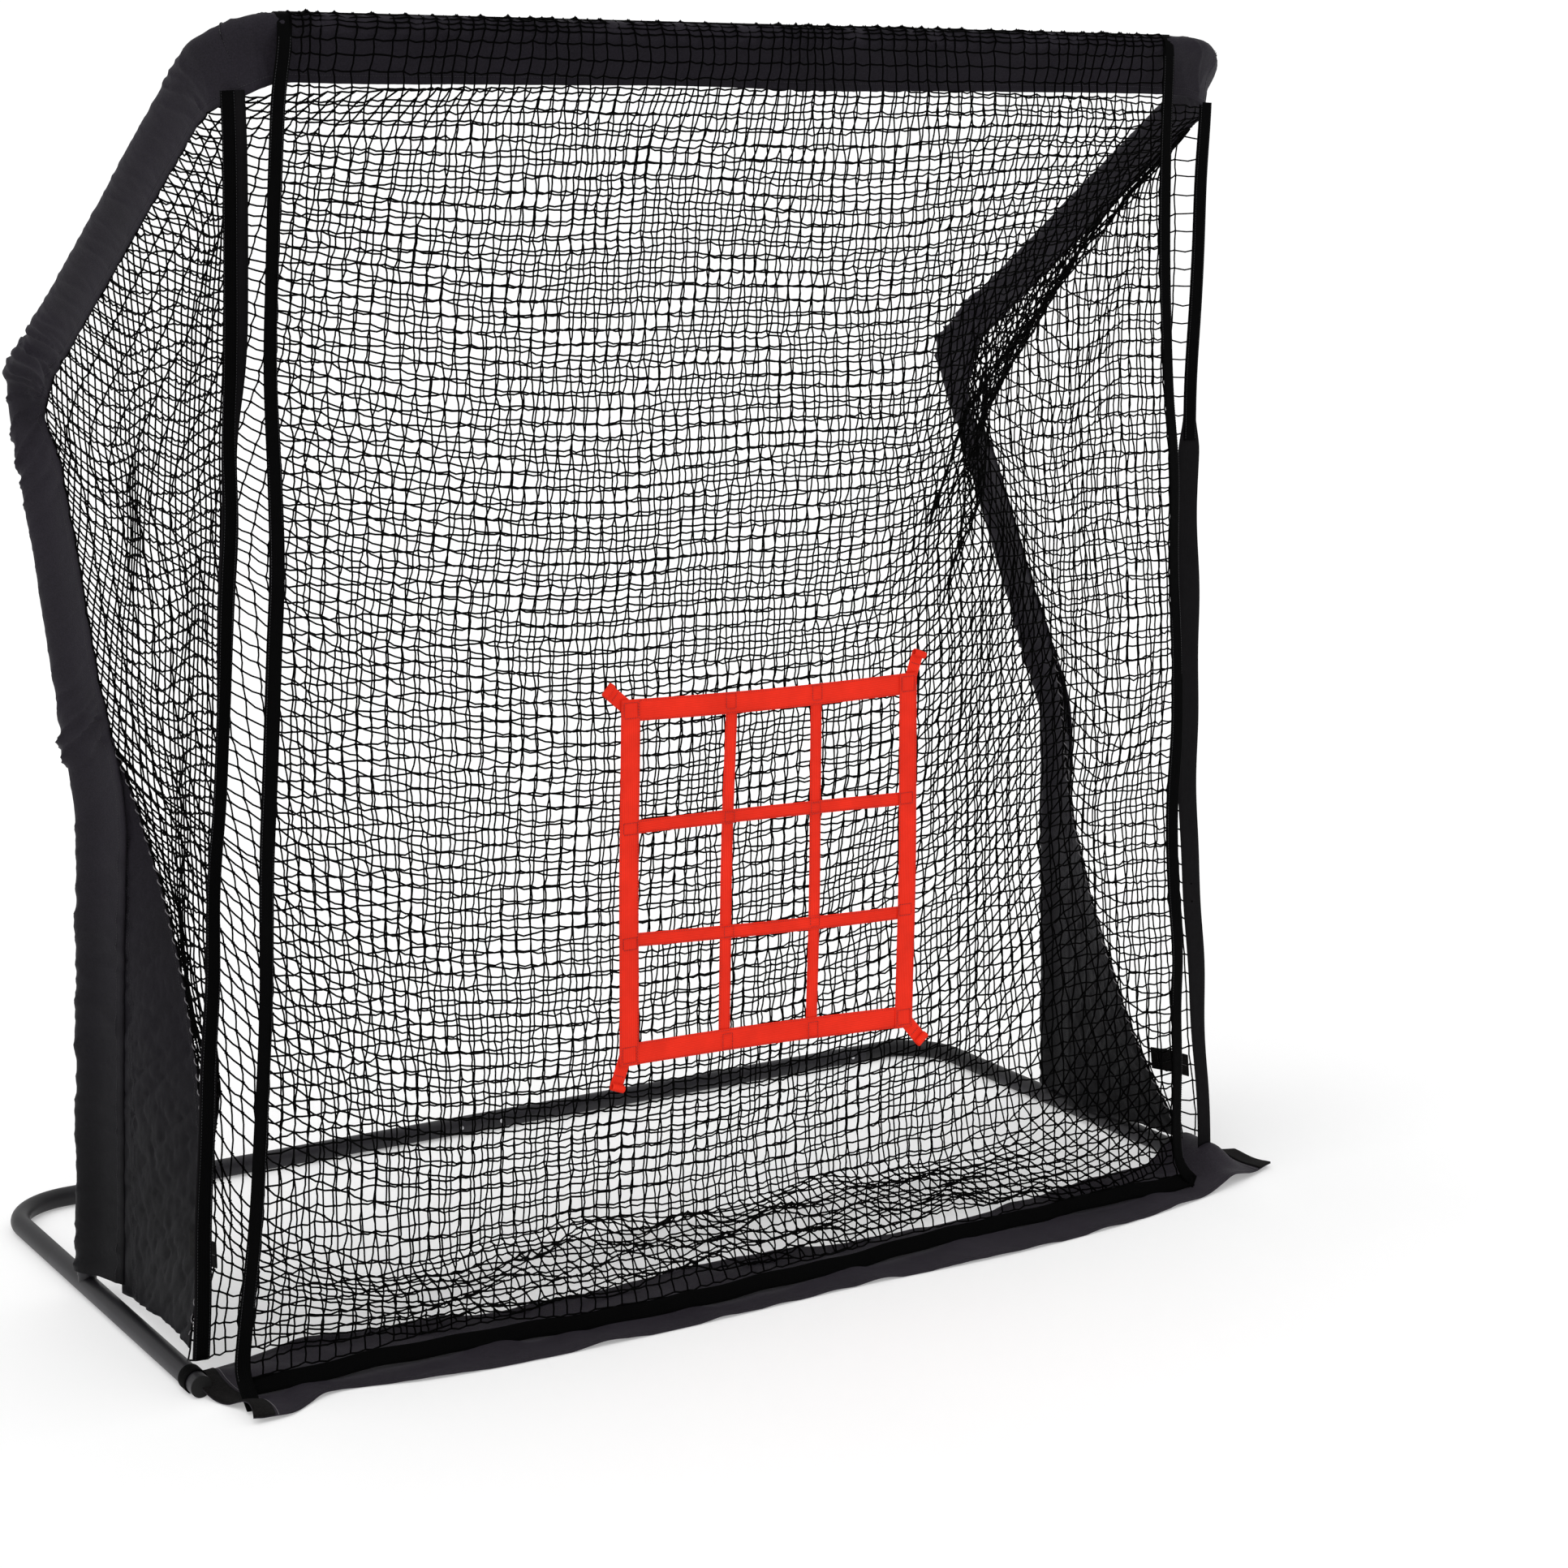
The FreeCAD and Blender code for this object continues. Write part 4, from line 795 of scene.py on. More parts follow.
def slack(lines, droop, seed):
    """Adds a drooping middle point to every mesh of each line."""
    draw = np.random.default_rng(seed)
    loose = []
    for line in lines:
        halfway = (line[:-1] + line[1:]) / 2
        amount = draw.uniform(0.2, 1.0, (len(halfway), 1)) + draw.normal(0, 0.25, (len(halfway), 1))
        halfway = halfway + amount * np.asarray(droop)
        woven = np.empty((len(line) + len(halfway), 3))
        woven[0::2], woven[1::2] = line, halfway
        loose.append(woven)
    return loose


def net_pieces(name, nodes, body, stands_for, cross_droop=(0, 0, -0.003), down_droop=(0.0016, 0, 0)):
    """Cross cords, down cords and knots of a net whose nodes form a full grid."""
    seed = sum(name.encode())
    cross = cords(f"{name}_cross_cords", slack(nodes, cross_droop, seed), CORD_RADIUS, UP)
    down_lines = slack(nodes.transpose(1, 0, 2), down_droop, seed + 1)
    down = cords(f"{name}_down_cords", down_lines, CORD_RADIUS, RIGHT)
    knots = blobs(f"{name}_knots", nodes[1:-1, 1:-1].reshape(-1, 3), KNOT_RADIUS)
    dress(cross, NET_CORD, body, "net_cord", stands_for)
    dress(down, NET_CORD, body, "net_cord")
    dress(knots, NET_CORD, body, "net_cord")


def jitter(points, amount, seed):
    """Shifts nodes a little, unevenly from one to the next."""
    draw = np.random.default_rng(seed)
    return points + draw.normal(0, amount, points.shape)


def front_strap_x(side, z):
    """The panel's bound edges bow outwards towards the floor."""
    if side == "left":
        heights = [
            0.00, 0.10, 0.25, 0.40, 0.63, 0.88, 1.00, 1.20, 1.33, 1.45, 1.67, 1.80, 2.00, 2.10, 2.16, 2.24,
        ]
        places = [
            -0.998, -0.992, -0.984, -0.977, -0.966, -0.964, -0.959, -0.952, -0.947, -0.950, -0.959, -0.956,
            -0.949, -0.944, -0.936, -0.930,
        ]
        return through(heights, places, z)
    heights = [
        0.00, 0.06, 0.15, 0.24, 0.35, 0.47, 0.59, 0.74, 0.90, 1.05, 1.21, 1.42, 1.52, 1.64, 1.83, 2.00, 2.24,
    ]
    places = [
        0.945, 0.925, 0.912, 0.904, 0.895, 0.898, 0.888, 0.884, 0.896, 0.896, 0.889, 0.889, 0.879, 0.872,
        0.866, 0.869, 0.881,
    ]
    return through(heights, places, z)


def front_foot_y(x):
    """Where the panel's foot lies on the skirt."""
    return -0.036 - 0.044 * bump(x, -0.13, 0.42)


def front_y(x, z):
    """Distance back of the hanging panel, from its foot to the top of the sleeve."""
    return PANEL_Y + (front_foot_y(x) - PANEL_Y) * smoothstep(0.35, 0.02, z)


def front_profile(count):
    """Down the panel: over the top of the sleeve from behind, then to the floor, as (y, z)."""
    radius = TOP_RADIUS + 0.0030
    angle = np.radians(np.linspace(35, 180, 7))
    over = np.column_stack([TOP[1] + radius * np.cos(angle), TOP[2] + radius * np.sin(angle)])
    fall = np.linspace(TOP[2] - 0.02, 0.030, count)
    return over, fall


def zigzag(points, amount):
    """Knots step aside in turn, which gives square netting its slightly six-sided meshes."""
    rows, columns = points.shape[:2]
    points = points.copy()
    points[..., 2] += amount * (1 - 2 * (np.arange(columns) % 2))[None, :]
    points[..., 0] += amount * (1 - 2 * (np.arange(rows) % 2))[:, None]
    return points


def front_nodes():
    """The panel's knots: it hangs from the bar in soft waves, always behind the strike zone."""
    over, fall = front_profile(int(2.16 / MESH_PITCH))
    columns = 74
    heights = np.concatenate([over[:, 1], fall])
    share = np.linspace(0, 1, columns + 1)
    left = front_strap_x("left", heights) + STRAP_WIDTH / 2 - 0.002
    right = front_strap_x("right", heights) - STRAP_WIDTH / 2 + 0.002
    x = left[:, None] + (right - left)[:, None] * share
    z = np.repeat(heights[:, None], columns + 1, axis=1)
    y = front_y(x, z)
    y[: len(over)] = over[:, :1]
    points = np.stack([x, y, z], axis=-1)
    loose = (smoothstep(0.0, 0.05, share) * smoothstep(1.0, 0.95, share))[None]
    hanging = np.ones((len(heights), 1))
    hanging[: len(over) + 4] = 0.2
    skew = 0.016 * ripple(points * [1, 0, 0.6], 0.36, 57) * smoothstep(1.9, 2.2, z)
    hollow = -0.030 * np.sin(math.pi * share)[None] * smoothstep(0.05, 0.5, z) * smoothstep(2.2, 1.9, z)
    points[..., 0] += loose * (0.005 * ripple(points, 0.42, 51) + 0.0016 * ripple(points, 0.10, 52) + skew)
    points[..., 1] += loose * hanging * (0.0015 + 0.012 * ridges(points * [1, 0, 0.3], 0.30, 53))
    waves = 0.005 * ripple(points, 0.55, 54) + 0.0014 * ripple(points, 0.11, 55)
    points[..., 2] += loose * (hanging * waves + hollow)
    points = zigzag(jitter(points, 0.0007, 56), 0.0010)
    points[..., 1] = np.maximum(points[..., 1], y)
    points[..., 2] = np.maximum(points[..., 2], 0.010)
    return points


# Down the middle of the catch net, below the top sleeve, as (y, z): the level of its sides' turn at
# the knees, the heel where it meets the floor, and its front end on the skirt.
BACK_MIDDLE = [(0.235, 1.080), (0.345, 0.030), (0.290, 0.006), (0.060, 0.006)]


def resample(points, shares):
    """Points at the given shares of the run's length."""
    reach = run_lengths(points)
    return along_run(shares * reach[-1], reach, points)


def back_edge(edge, shares, turn):
    """A side edge of the catch net: along the arm to the knee, down to the gusset, and to its foot."""
    knee = np.argmax(edge[:, 1])
    arm = edge[knee:][::-1]
    post = edge[:knee][::-1]
    post = post[post[:, 2] > GUSSET_TOP - 0.02]
    height = np.linspace(GUSSET_TOP - 0.01, 0.03, 40)
    front_y, pull = gusset_front(np.maximum(height, GUSSET_FOOT))
    lower = np.column_stack([np.sign(edge[0, 0]) * (SPAN - pull), front_y, height])
    before = shares <= turn
    upper = resample(arm, shares[before] / turn)
    below = resample(np.concatenate([post, lower]), (shares[~before] - turn) / (1 - turn))
    return np.concatenate([upper, below])


SEAM_KNEE = np.array([1.020, 0.805, 1.442])
FOLD_RUN = np.array([-0.22, -0.185, -0.20])


def knee_crease(points):
    """Crowds the cords towards a fold that runs from the right knee down into the catch net."""
    x, z = points[..., 0], points[..., 2]
    drop = np.clip((SEAM_KNEE[2] - z) / -FOLD_RUN[2], 0, None)
    line = SEAM_KNEE[0] + FOLD_RUN[0] * drop
    strength = smoothstep(-0.05, 0.10, drop) * smoothstep(2.0, 0.8, drop) * smoothstep(0.3, 0.6, x)
    offset = x - line
    points[..., 0] -= 0.80 * strength * offset * np.exp(-((offset / 0.09) ** 2))
    points[..., 1] += 0.030 * strength * np.exp(-((offset / 0.035) ** 2))
    return points


def back_nodes(edges, top_edge):
    """The catch net's knots: slack between its sides, creased at the right knee, folded on the floor."""
    corners = np.concatenate([top_edge[len(top_edge) // 2][None, 1:], np.array(BACK_MIDDLE)])
    middle_line = np.column_stack([np.zeros(len(corners)), corners])
    reach = run_lengths(middle_line)
    rows = int(reach[-1] / MESH_PITCH) + 6
    shares = np.linspace(0, 1, rows)
    turn, heel = reach[1] / reach[-1], reach[2] / reach[-1]
    centre = resample(middle_line, shares)
    centre[1:] = soften(centre[1:], 8)
    columns = 80
    across = np.linspace(-1, 1, columns + 1)
    points = np.empty((rows, columns + 1, 3))
    for side, sign in SIDES.items():
        rim = back_edge(edges[side], shares, turn)
        half = across * sign >= 0
        share = np.abs(across[half])
        weight = (share**3)[None, :, None]
        points[:, half] = centre[:, None] * (1 - weight) + rim[:, None] * weight
        points[:, half, 0] = rim[:, :1] * share
    slack_share = smoothstep(0.0, 0.10, 1 - np.abs(across))[None]
    floor_share = smoothstep(heel - 0.03, heel + 0.01, shares)[:, None]
    middle_share = 1 - np.abs(across[None]) ** 3
    slack_share = slack_share * smoothstep(-0.01, 0.05, shares)[:, None]
    points[..., 0] += slack_share * (0.007 * ripple(points, 0.40, 61) + 0.0016 * ripple(points, 0.10, 62))
    points[..., 1] += slack_share * 0.020 * ripple(points * [1, 0.4, 0.4], 0.45, 63) * (1 + floor_share)
    points[..., 2] += slack_share * (0.007 * ripple(points, 0.50, 64) + 0.0016 * ripple(points, 0.10, 65))
    points = knee_crease(zigzag(jitter(points, 0.0008, 66), 0.0010))
    folds = 0.012 * (1 + ripple(points * [1, 2, 0], 0.16, 67)) * middle_share
    lying = floor_share * middle_share
    points[..., 2] = points[..., 2] * (1 - lying) + (0.004 + np.abs(folds)) * lying
    points[..., 2] = np.maximum(points[..., 2], 0.004)
    points[..., 1] = np.maximum(points[..., 1], -0.030)
    return points


def knee_seam(edge):
    """The gathered seam of the catch net: from the top corner to the knee, and on into the crease."""
    share = np.linspace(0, 1, 90)[:, None]
    arm = edge[-30] + (SEAM_KNEE - edge[-30]) * share + UP * 0.022 * np.sin(math.pi * share)
    fold = SEAM_KNEE + FOLD_RUN * np.linspace(0.02, 1.05, 30)[:, None]
    core = soften(np.concatenate([arm, fold]), 8)
    along = np.linspace(0, 1, len(core))[:, None]
    spread = 0.0016 + 0.0050 * np.sin(math.pi * np.clip(along * 1.25, 0, 1))
    lines = []
    for strand in range(8):
        drift = np.stack([ripple(core, 0.16, 200 + strand * 3 + axis) for axis in range(3)], axis=1)
        lines.append(core + drift * spread)
    thing = cords("back_net_seam", lines, CORD_RADIUS, RIGHT + UP * 0.2)
    dress(thing, NET_CORD, "frame", "net_cord")


def side_front_y(z):
    """Front edge of a side net, along the edge strap."""
    return through([0.05, 2.10], [0.035, -0.032], z) + 0.002


def side_rear(edge, z):
    """Rear edge of a side net at a height: the sleeve's flat edge, or the gusset's front edge."""
    knee = np.argmax(edge[:, 1])
    arm, above = edge[knee:], z > edge[knee, 2]
    post_y, post_x = edge_at(edge, z)
    y = np.where(above, np.interp(z, arm[:, 2], arm[:, 1]), post_y)
    x = np.where(above, np.interp(z, arm[:, 2], arm[:, 0]), post_x)
    front_y, pull = gusset_front(np.clip(z, GUSSET_FOOT, GUSSET_TOP))
    on_gusset = z < GUSSET_TOP
    return np.where(on_gusset, front_y, y), np.where(on_gusset, np.sign(x) * (SPAN - pull), x)


def side_point(side, edge, y, z):
    """A side net's surface, from edge strap to sleeve, hollowed inwards and sagging."""
    sign = SIDES[side]
    front = side_front_y(z)
    rear, rear_x = side_rear(edge, z)
    share = np.clip((y - front) / np.maximum(rear - front, 1e-3), 0, 1)
    x = edge_strap_x(side, z) * (1 - share) + rear_x * share
    points = np.stack([x, y, z], axis=-1)
    loose = np.sin(math.pi * share)
    lean = -0.16 * (y - front) * smoothstep(2.0, 1.5, z)
    points[..., 0] -= sign * loose * (0.016 + 0.008 * ripple(points, 0.4, 71))
    points[..., 1] += loose * (0.012 * ripple(points, 0.34, 72) + 0.004 * ripple(points, 0.08, 73))
    points[..., 2] += loose * (0.016 * ripple(points, 0.40, 74) + 0.004 * ripple(points, 0.09, 75) + lean)
    return points


def side_net(side, edge):
    """Square meshes clipped to the outline between edge strap, sleeve and gusset."""
    pitch = 0.0275 if side == "left" else 0.0355
    rows = np.arange(0.075, 2.05, pitch)
    if side == "left":
        columns = np.arange(0.03, 0.80, 0.0245)
    else:
        columns = np.concatenate([[0.045], np.arange(0.075, 0.80, 0.0235)])
    cross, knots, down = [], [], []
    for z in rows:
        front, rear = side_front_y(z), float(side_rear(edge, z)[0])
        inside = columns[(columns > front + 0.012) & (columns < rear - 0.003)]
        y = np.concatenate([[front], inside, [rear]])
        cross.append(side_point(side, edge, y, np.full(len(y), z)))
        if len(inside):
            knots.append(side_point(side, edge, inside, np.full(len(inside), z)))
    fine = np.linspace(0.056, 2.07, 1600)
    reach = side_rear(edge, fine)[0]
    for y in columns:
        held = fine[reach > y]
        if len(held) < 2:
            continue
        inside = rows[(rows > held[0]) & (rows < held[-1])]
        z = np.concatenate([[held[0]], inside, [held[-1]]])
        down.append(side_point(side, edge, np.full(len(z), y), z))
    seed = 80 + SIDES[side]
    pieces = [
        cords(f"side_net_{side}_cross_cords", slack(cross, (0, 0, -0.0045), seed), CORD_RADIUS, RIGHT),
        cords(f"side_net_{side}_down_cords", slack(down, (0, 0.0020, 0), seed + 5), CORD_RADIUS, RIGHT),
        blobs(f"side_net_{side}_knots", np.concatenate(knots), KNOT_RADIUS),
    ]
    for piece in pieces:
        dress(piece, NET_CORD, "frame", "net_cord", f"side_net_{side}")


# ---- webbing


def edge_strap_x(side, z):
    """Place sideways of an edge strap at a height."""
    if side == "left":
        heights = [0.03, 0.45, 0.62, 0.88, 0.95, 1.20, 1.40, 1.52, 1.65, 1.80, 2.00, 2.10]
        places = [
            -1.036, -1.030, -1.024, -1.021, -1.016, -1.010, -1.006, -1.008, -1.000, -1.000, -1.002, -1.008,
        ]
        return through(heights, places, z)
    heights = [0.03, 0.12, 0.33, 0.56, 0.72, 0.90, 1.10, 1.40, 1.60, 1.90, 2.10]
    places = [1.049, 1.042, 1.024, 1.006, 0.990, 0.986, 0.981, 0.968, 0.972, 0.987, 0.996]
    return through(heights, places, z)


def edge_band_width(side, z):
    """The cloth band shows wide where it hangs square to the viewer, narrow where it turns."""
    if side == "left":
        heights = [0.0, 0.6, 0.9, 1.15, 1.35, 1.5, 1.7, 2.1]
        return through(heights, [0.029, 0.028, 0.024, 0.026, 0.033, 0.028, 0.040, 0.040], z)
    return 0.028 + 0.020 * smoothstep(1.50, 1.42, z) - 0.012 * smoothstep(0.45, 0.20, z)


def edge_straps():
    """Cloth band down each front edge of the main net, with black webbing sewn along it."""
    z = np.linspace(2.100, 0.048, 170)
    sway = 0.003 * ripple(np.column_stack([z, z, z]), 0.5, 91)
    y = -0.034 + 0.068 * (2.100 - z) / 2.05 + sway
    # On the left the webbing runs the whole height, on the right it ends halfway down.
    shift_left = -0.0105 * smoothstep(1.45, 1.70, z)[:, None]
    cores = {"left": (0.024, 0.0, shift_left), "right": (0.027, 1.44, 0.0)}
    for side, sign in SIDES.items():
        path = np.column_stack([edge_strap_x(side, z), y, z])
        across = unit(RIGHT + BACK * (0.14 * np.sin(z * 2.3 + sign))[:, None])
        band = webbing(f"edge_band_{side}", path, across, edge_band_width(side, z), 0.0016)
        dress(band, EDGE_WEBBING, "frame", "black_webbing", f"edge_strap_{side}")
        core_width, core_foot, core_shift = cores[side]
        covered = z > core_foot
        face = (path - BACK * STRAP + across * core_shift)[covered]
        core = webbing(f"edge_webbing_{side}", face, across[covered], core_width)
        dress(core, BLACK_WEBBING, "frame", "black_webbing")
        for label, offset in (("inner", -0.0105), ("outer", 0.0105)):
            row = face + across[covered] * offset - BACK * STRAP / 2
            name = f"edge_stitches_{label}_{side}"
            sew(name, row, -BACK, BLACK_THREAD, "frame", "black_webbing")


def leg_loops():
    """Webbing from each edge strap's foot round the side leg's front end."""
    low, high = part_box("leg_loops")
    angle = np.radians(np.linspace(-62, 242, 60))
    radius = TUBE + 0.0016
    for side, sign in SIDES.items():
        x = sign * SPAN + radius * np.cos(angle)
        y = np.full(len(angle), (low.y + high.y) / 2)
        z = np.maximum(TUBE + radius * np.sin(angle), 0.0016)
        strap = webbing(f"leg_loop_{side}", np.column_stack([x, y, z]), BACK, 0.030, 0.0018)
        dress(strap, BLACK_WEBBING, "frame", "black_webbing", "leg_loops")


def tie_tabs():
    """Hook-and-loop tabs between gusset and edge strap."""
    for side, sign in SIDES.items():
        low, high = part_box(f"tie_tab_{side}")
        y = np.linspace(low.y - 0.006, high.y, 24)
        share = (y - y[0]) / (y[-1] - y[0])
        x = (low.x + high.x) / 2 + sign * 0.004 * np.sin(math.pi * share)
        z = (low.z + high.z) / 2 - 0.012 - 0.012 * (share - 0.5)
        path = np.column_stack([x, y, z])
        tab = webbing(f"tie_tab_pile_{side}", path, UP, high.z - low.z, 0.0026)
        dress(tab, PILE, f"tie_tab_{side}", "hook_loop", f"tie_tab_{side}")
        name = f"tie_tab_stitches_{side}"
        sew(name, path[:6] - RIGHT * 0.0014, -RIGHT, GREY_THREAD, f"tie_tab_{side}", "hook_loop")


def binding_path(side):
    """A side binding's run: over the top bar, down the panel, and out along the floor at its tail."""
    over, fall = front_profile(140)
    z = np.concatenate([over[:, 1], fall])
    x = front_strap_x(side, z)
    y = front_y(x, z) - 0.0015
    y[: len(over)] = over[:, 0]
    z[: len(over)] += 0.0012
    tails = {
        "left": [[-0.990, -0.062, 0.014], [-0.996, -0.088, 0.008], [-1.000, -0.106, 0.006]],
        "right": [[0.963, front_foot_y(0.96) - 0.004, 0.012]],
    }
    path = np.concatenate([np.column_stack([x, y, z]), np.array(tails[side])])
    return soften(path, 3), over


def front_bindings():
    """Webbing down the panel's sides, over the top bar, and along its foot."""
    for side, sign in SIDES.items():
        path, over = binding_path(side)
        twist = 0.22 * np.sin(path[:, 2] * 5.0 + sign) * smoothstep(2.1, 1.8, path[:, 2])
        strap = webbing(f"front_strap_{side}", path, RIGHT + BACK * twist[:, None], STRAP_WIDTH)
        dress(strap, BLACK_WEBBING, "front_panel", "black_webbing", f"front_binding_{side}")
        for label, offset in (("inner", -0.010), ("outer", 0.010)):
            row = path[len(over) : -3] + RIGHT * offset - BACK * STRAP / 2
            name = f"front_strap_stitches_{label}_{side}"
            sew(name, row, -BACK, BLACK_THREAD, "front_panel", "black_webbing")
    x = np.linspace(-0.985, 0.958, 160)
    z = 0.018 + 0.003 * ripple(np.column_stack([x, x, x]), 0.3, 95)
    lean = BACK * (0.55 + 0.15 * np.sin(x * 5))[:, None]
    foot_path = np.column_stack([x, front_foot_y(x) - 0.004, z])
    foot = webbing("front_strap_foot", foot_path, UP + lean, 0.028)
    dress(foot, BLACK_WEBBING, "front_panel", "black_webbing", "front_binding_bottom")
    hem_path = np.column_stack([x * 0.945, np.full(len(x), over[1][0]), np.full(len(x), over[1][1])])
    hem = webbing("front_net_top_edge", hem_path, UP - BACK, 0.010, 0.0020)
    dress(hem, BLACK_WEBBING, "front_panel", "black_webbing", "front_net_hem")


# ---- skirt


def skirt_front_y(x):
    """The skirt's front edge wanders across the floor."""
    stations = [-1.03, -0.96, -0.87, -0.70, -0.27, 0.10, 0.49, 0.82, 1.05, 1.176]
    places = [-0.148, -0.142, -0.098, -0.128, -0.150, -0.142, -0.152, -0.120, -0.066, -0.020]
    return through(stations, places, x)


def skirt_rear_y(x):
    """The skirt's rear edge, under the catch net."""
    stations = [-1.03, -0.93, -0.75, -0.44, 0.05, 0.24, 0.49, 0.80, 1.03, 1.176]
    places = [0.052, 0.112, 0.128, 0.076, 0.090, 0.050, 0.048, 0.096, 0.112, 0.086]
    return through(stations, places, x)


def skirt_points(rows=46, columns=330):
    """Cloth strip on the floor: soft creases, curled left end, and a tent over the right leg's end."""
    share, x = np.meshgrid(np.linspace(0, 1, rows), np.linspace(-1.030, 1.170, columns), indexing="ij")
    front, rear = skirt_front_y(x), skirt_rear_y(x)
    y = front + (rear - front) * share
    x = x + 0.018 * np.sin(share * 5.0 + 0.6) * smoothstep(-0.90, -1.03, x)
    flat = np.stack([x, y, np.zeros_like(x)], axis=-1)
    creases = np.maximum(ripple(flat * [1, 1.7, 0], 0.22, 101), 0) * 0.0045
    creases = creases + np.maximum(ripple(flat * [1, 0.35, 0], 0.10, 102), 0) * 0.0022
    curl = 0.016 * smoothstep(-0.93, -1.03, x) * (0.5 + 0.5 * np.sin(share * 9.0))
    over_leg = smoothstep(-0.035, 0.030, y)
    tent = (2 * TUBE + 0.014) * np.exp(-((np.abs(x - SPAN) / 0.052) ** 2.6)) * over_leg
    before_leg = 0.020 * bump(x, SPAN - 0.01, 0.05) * (1 - over_leg)
    z = 0.0016 + creases + curl + tent + before_leg
    return np.stack([x, y, z], axis=-1)


def skirt():
    """The skirt's cloth, its hook-and-loop end bands and its stitching."""
    points = skirt_points()
    cloth = thick_sheet("skirt_cloth", points, 0.0014)
    dress(cloth, SKIRT_CLOTH, "frame", "skirt_cloth", "ground_skirt")
    above = UP * 0.0009
    for side, columns, seam in (("left", slice(0, 7), 7), ("right", slice(-7, None), -8)):
        pile = thick_sheet(f"skirt_band_{side}", points[:, columns] + UP * 0.0022, 0.0018)
        dress(pile, PILE, "frame", "hook_loop", "skirt_end_bands")
        name = f"skirt_band_stitches_{side}"
        sew(name, points[:, seam] + above, UP, GREY_THREAD, "frame", "skirt_cloth", radius=0.0006)
    for label, row in (("front", points[2]), ("rear", points[-3])):
        sew(f"skirt_hem_stitches_{label}", row + above, UP, BLACK_THREAD, "frame", "skirt_cloth")


# ---- strike zone

ZONE_BAR = 0.038
ZONE_STRAP = 0.0235
ZONE_FACE = ZONE_LOW[1] - 0.0012
ZONE_WIDTH, ZONE_HEIGHT = (ZONE_HIGH - ZONE_LOW)[[0, 2]]
BAR_ACROSS, BAR_UP = ZONE_BAR / 2 / ZONE_WIDTH, ZONE_BAR / 2 / ZONE_HEIGHT
# Each tab's root as shares of the zone's width and height, and its lean from upright in degrees.
TAB_PLACES = {
    "top_left": (0.02, 0.98, -50),
    "top_right": (0.98, 0.98, 20),
    "bottom_left": (0.02, 0.02, -160),
    "bottom_right": (0.98, 0.02, 140),
}
TAB_LENGTH = 0.049
TAB_CURL = 0.0055


def zone_point(across, up, layer=0.0):
    """A point of the zone from its shares of the width and the height. Its foot hangs a little askew."""
    across, up = np.broadcast_arrays(np.asarray(across, float), np.asarray(up, float))
    x = ZONE_LOW[0] + ZONE_WIDTH * across + 0.006 - (0.004 + 0.007 * across) * (1 - up)
    z = ZONE_LOW[2] + ZONE_HEIGHT * up - 0.004 * across + (0.009 - 0.014 * across) * (1 - up)
    wave = 0.0007 * np.sin(x * 13 + z * 5) + 0.0006 * np.sin(z * 17 - x * 4)
    return np.stack([x, ZONE_FACE + wave - layer, z], axis=-1)


def zone_strap(name, start, end, width, layer, bow, *nodes):
    """One webbing bar of the zone between two places given in shares, with stitched edges."""
    share = np.linspace(0, 1, 70)[:, None]
    places = np.array(start) + (np.array(end) - np.array(start)) * share
    path = zone_point(places[:, 0], places[:, 1], layer)
    along = unit(path[-1] - path[0])
    across = np.cross(along, BACK)
    path = path + across * bow * np.sin(math.pi * share)
    strap = webbing(name, path, across, width, 0.0016)
    dress(strap, RED_WEBBING, "strike_zone", "red_webbing", *nodes)
    for label, offset in (("a", -width / 2 + 0.0025), ("b", width / 2 - 0.0025)):
        row = path + across * offset - BACK * 0.0008
        sew(f"{name}_stitches_{label}", row, -BACK, RED_THREAD, "strike_zone", "red_webbing")


def strike_zone():
    """Four wide bars over four narrow straps, sewn with a box at every crossing."""
    left, right = BAR_ACROSS, 1 - BAR_ACROSS
    low, high = BAR_UP, 1 - BAR_UP
    zone_strap("zone_bar_left", (left, 0), (left, 1), ZONE_BAR, 0.0030, 0.002, "strike_zone_frame")
    zone_strap("zone_bar_right", (right, 0), (right, 1), ZONE_BAR, 0.0030, -0.004)
    zone_strap("zone_bar_top", (0.005, high), (0.995, high), ZONE_BAR, 0.0012, -0.004)
    zone_strap("zone_bar_foot", (0.005, low), (0.995, low), ZONE_BAR, 0.0012, 0.003)
    uprights = [((0.350, low), (0.364, high)), ((0.647, low), (0.650, high))]
    levels = [((left, 0.342), (right, 0.325)), ((left, 0.649), (right, 0.645))]
    for i, (start, end) in enumerate(uprights):
        nodes = ["strike_zone_grid"] if i == 0 else []
        zone_strap(f"zone_upright_{i}", start, end, ZONE_STRAP, -0.0010, 0.003 - 0.005 * i, *nodes)
    for i, (start, end) in enumerate(levels):
        zone_strap(f"zone_level_{i}", start, end, ZONE_STRAP, 0.0004, 0.005 * i - 0.003)
    columns = [left, 0.357, 0.649, right]
    rows = [low, 0.333, 0.647, high]
    for i, across in enumerate(columns):
        for j, up in enumerate(rows):
            inner = i in (1, 2) and j in (1, 2)
            corner = i in (0, 3) and j in (0, 3)
            half = (0.0095, 0.0095) if inner else (0.0135, 0.0135) if corner else (0.0135, 0.0098)
            sewn_box(f"zone_box_{i}{j}", across, up, half if j in (1, 2) else half[::-1])
    strike_tabs()


def sewn_box(name, across, up, half):
    """A rectangle of stitches where two straps cross."""
    corners = np.array([(-1, -1), (1, -1), (1, 1), (-1, 1), (-1, -1)]) * np.array(half)
    centre = zone_point(across, up, 0.0042)
    path = centre + corners[:, :1] * RIGHT + corners[:, 1:] * UP
    sew(name, path, -BACK, RED_THREAD, "strike_zone", "red_webbing", radius=0.0007)


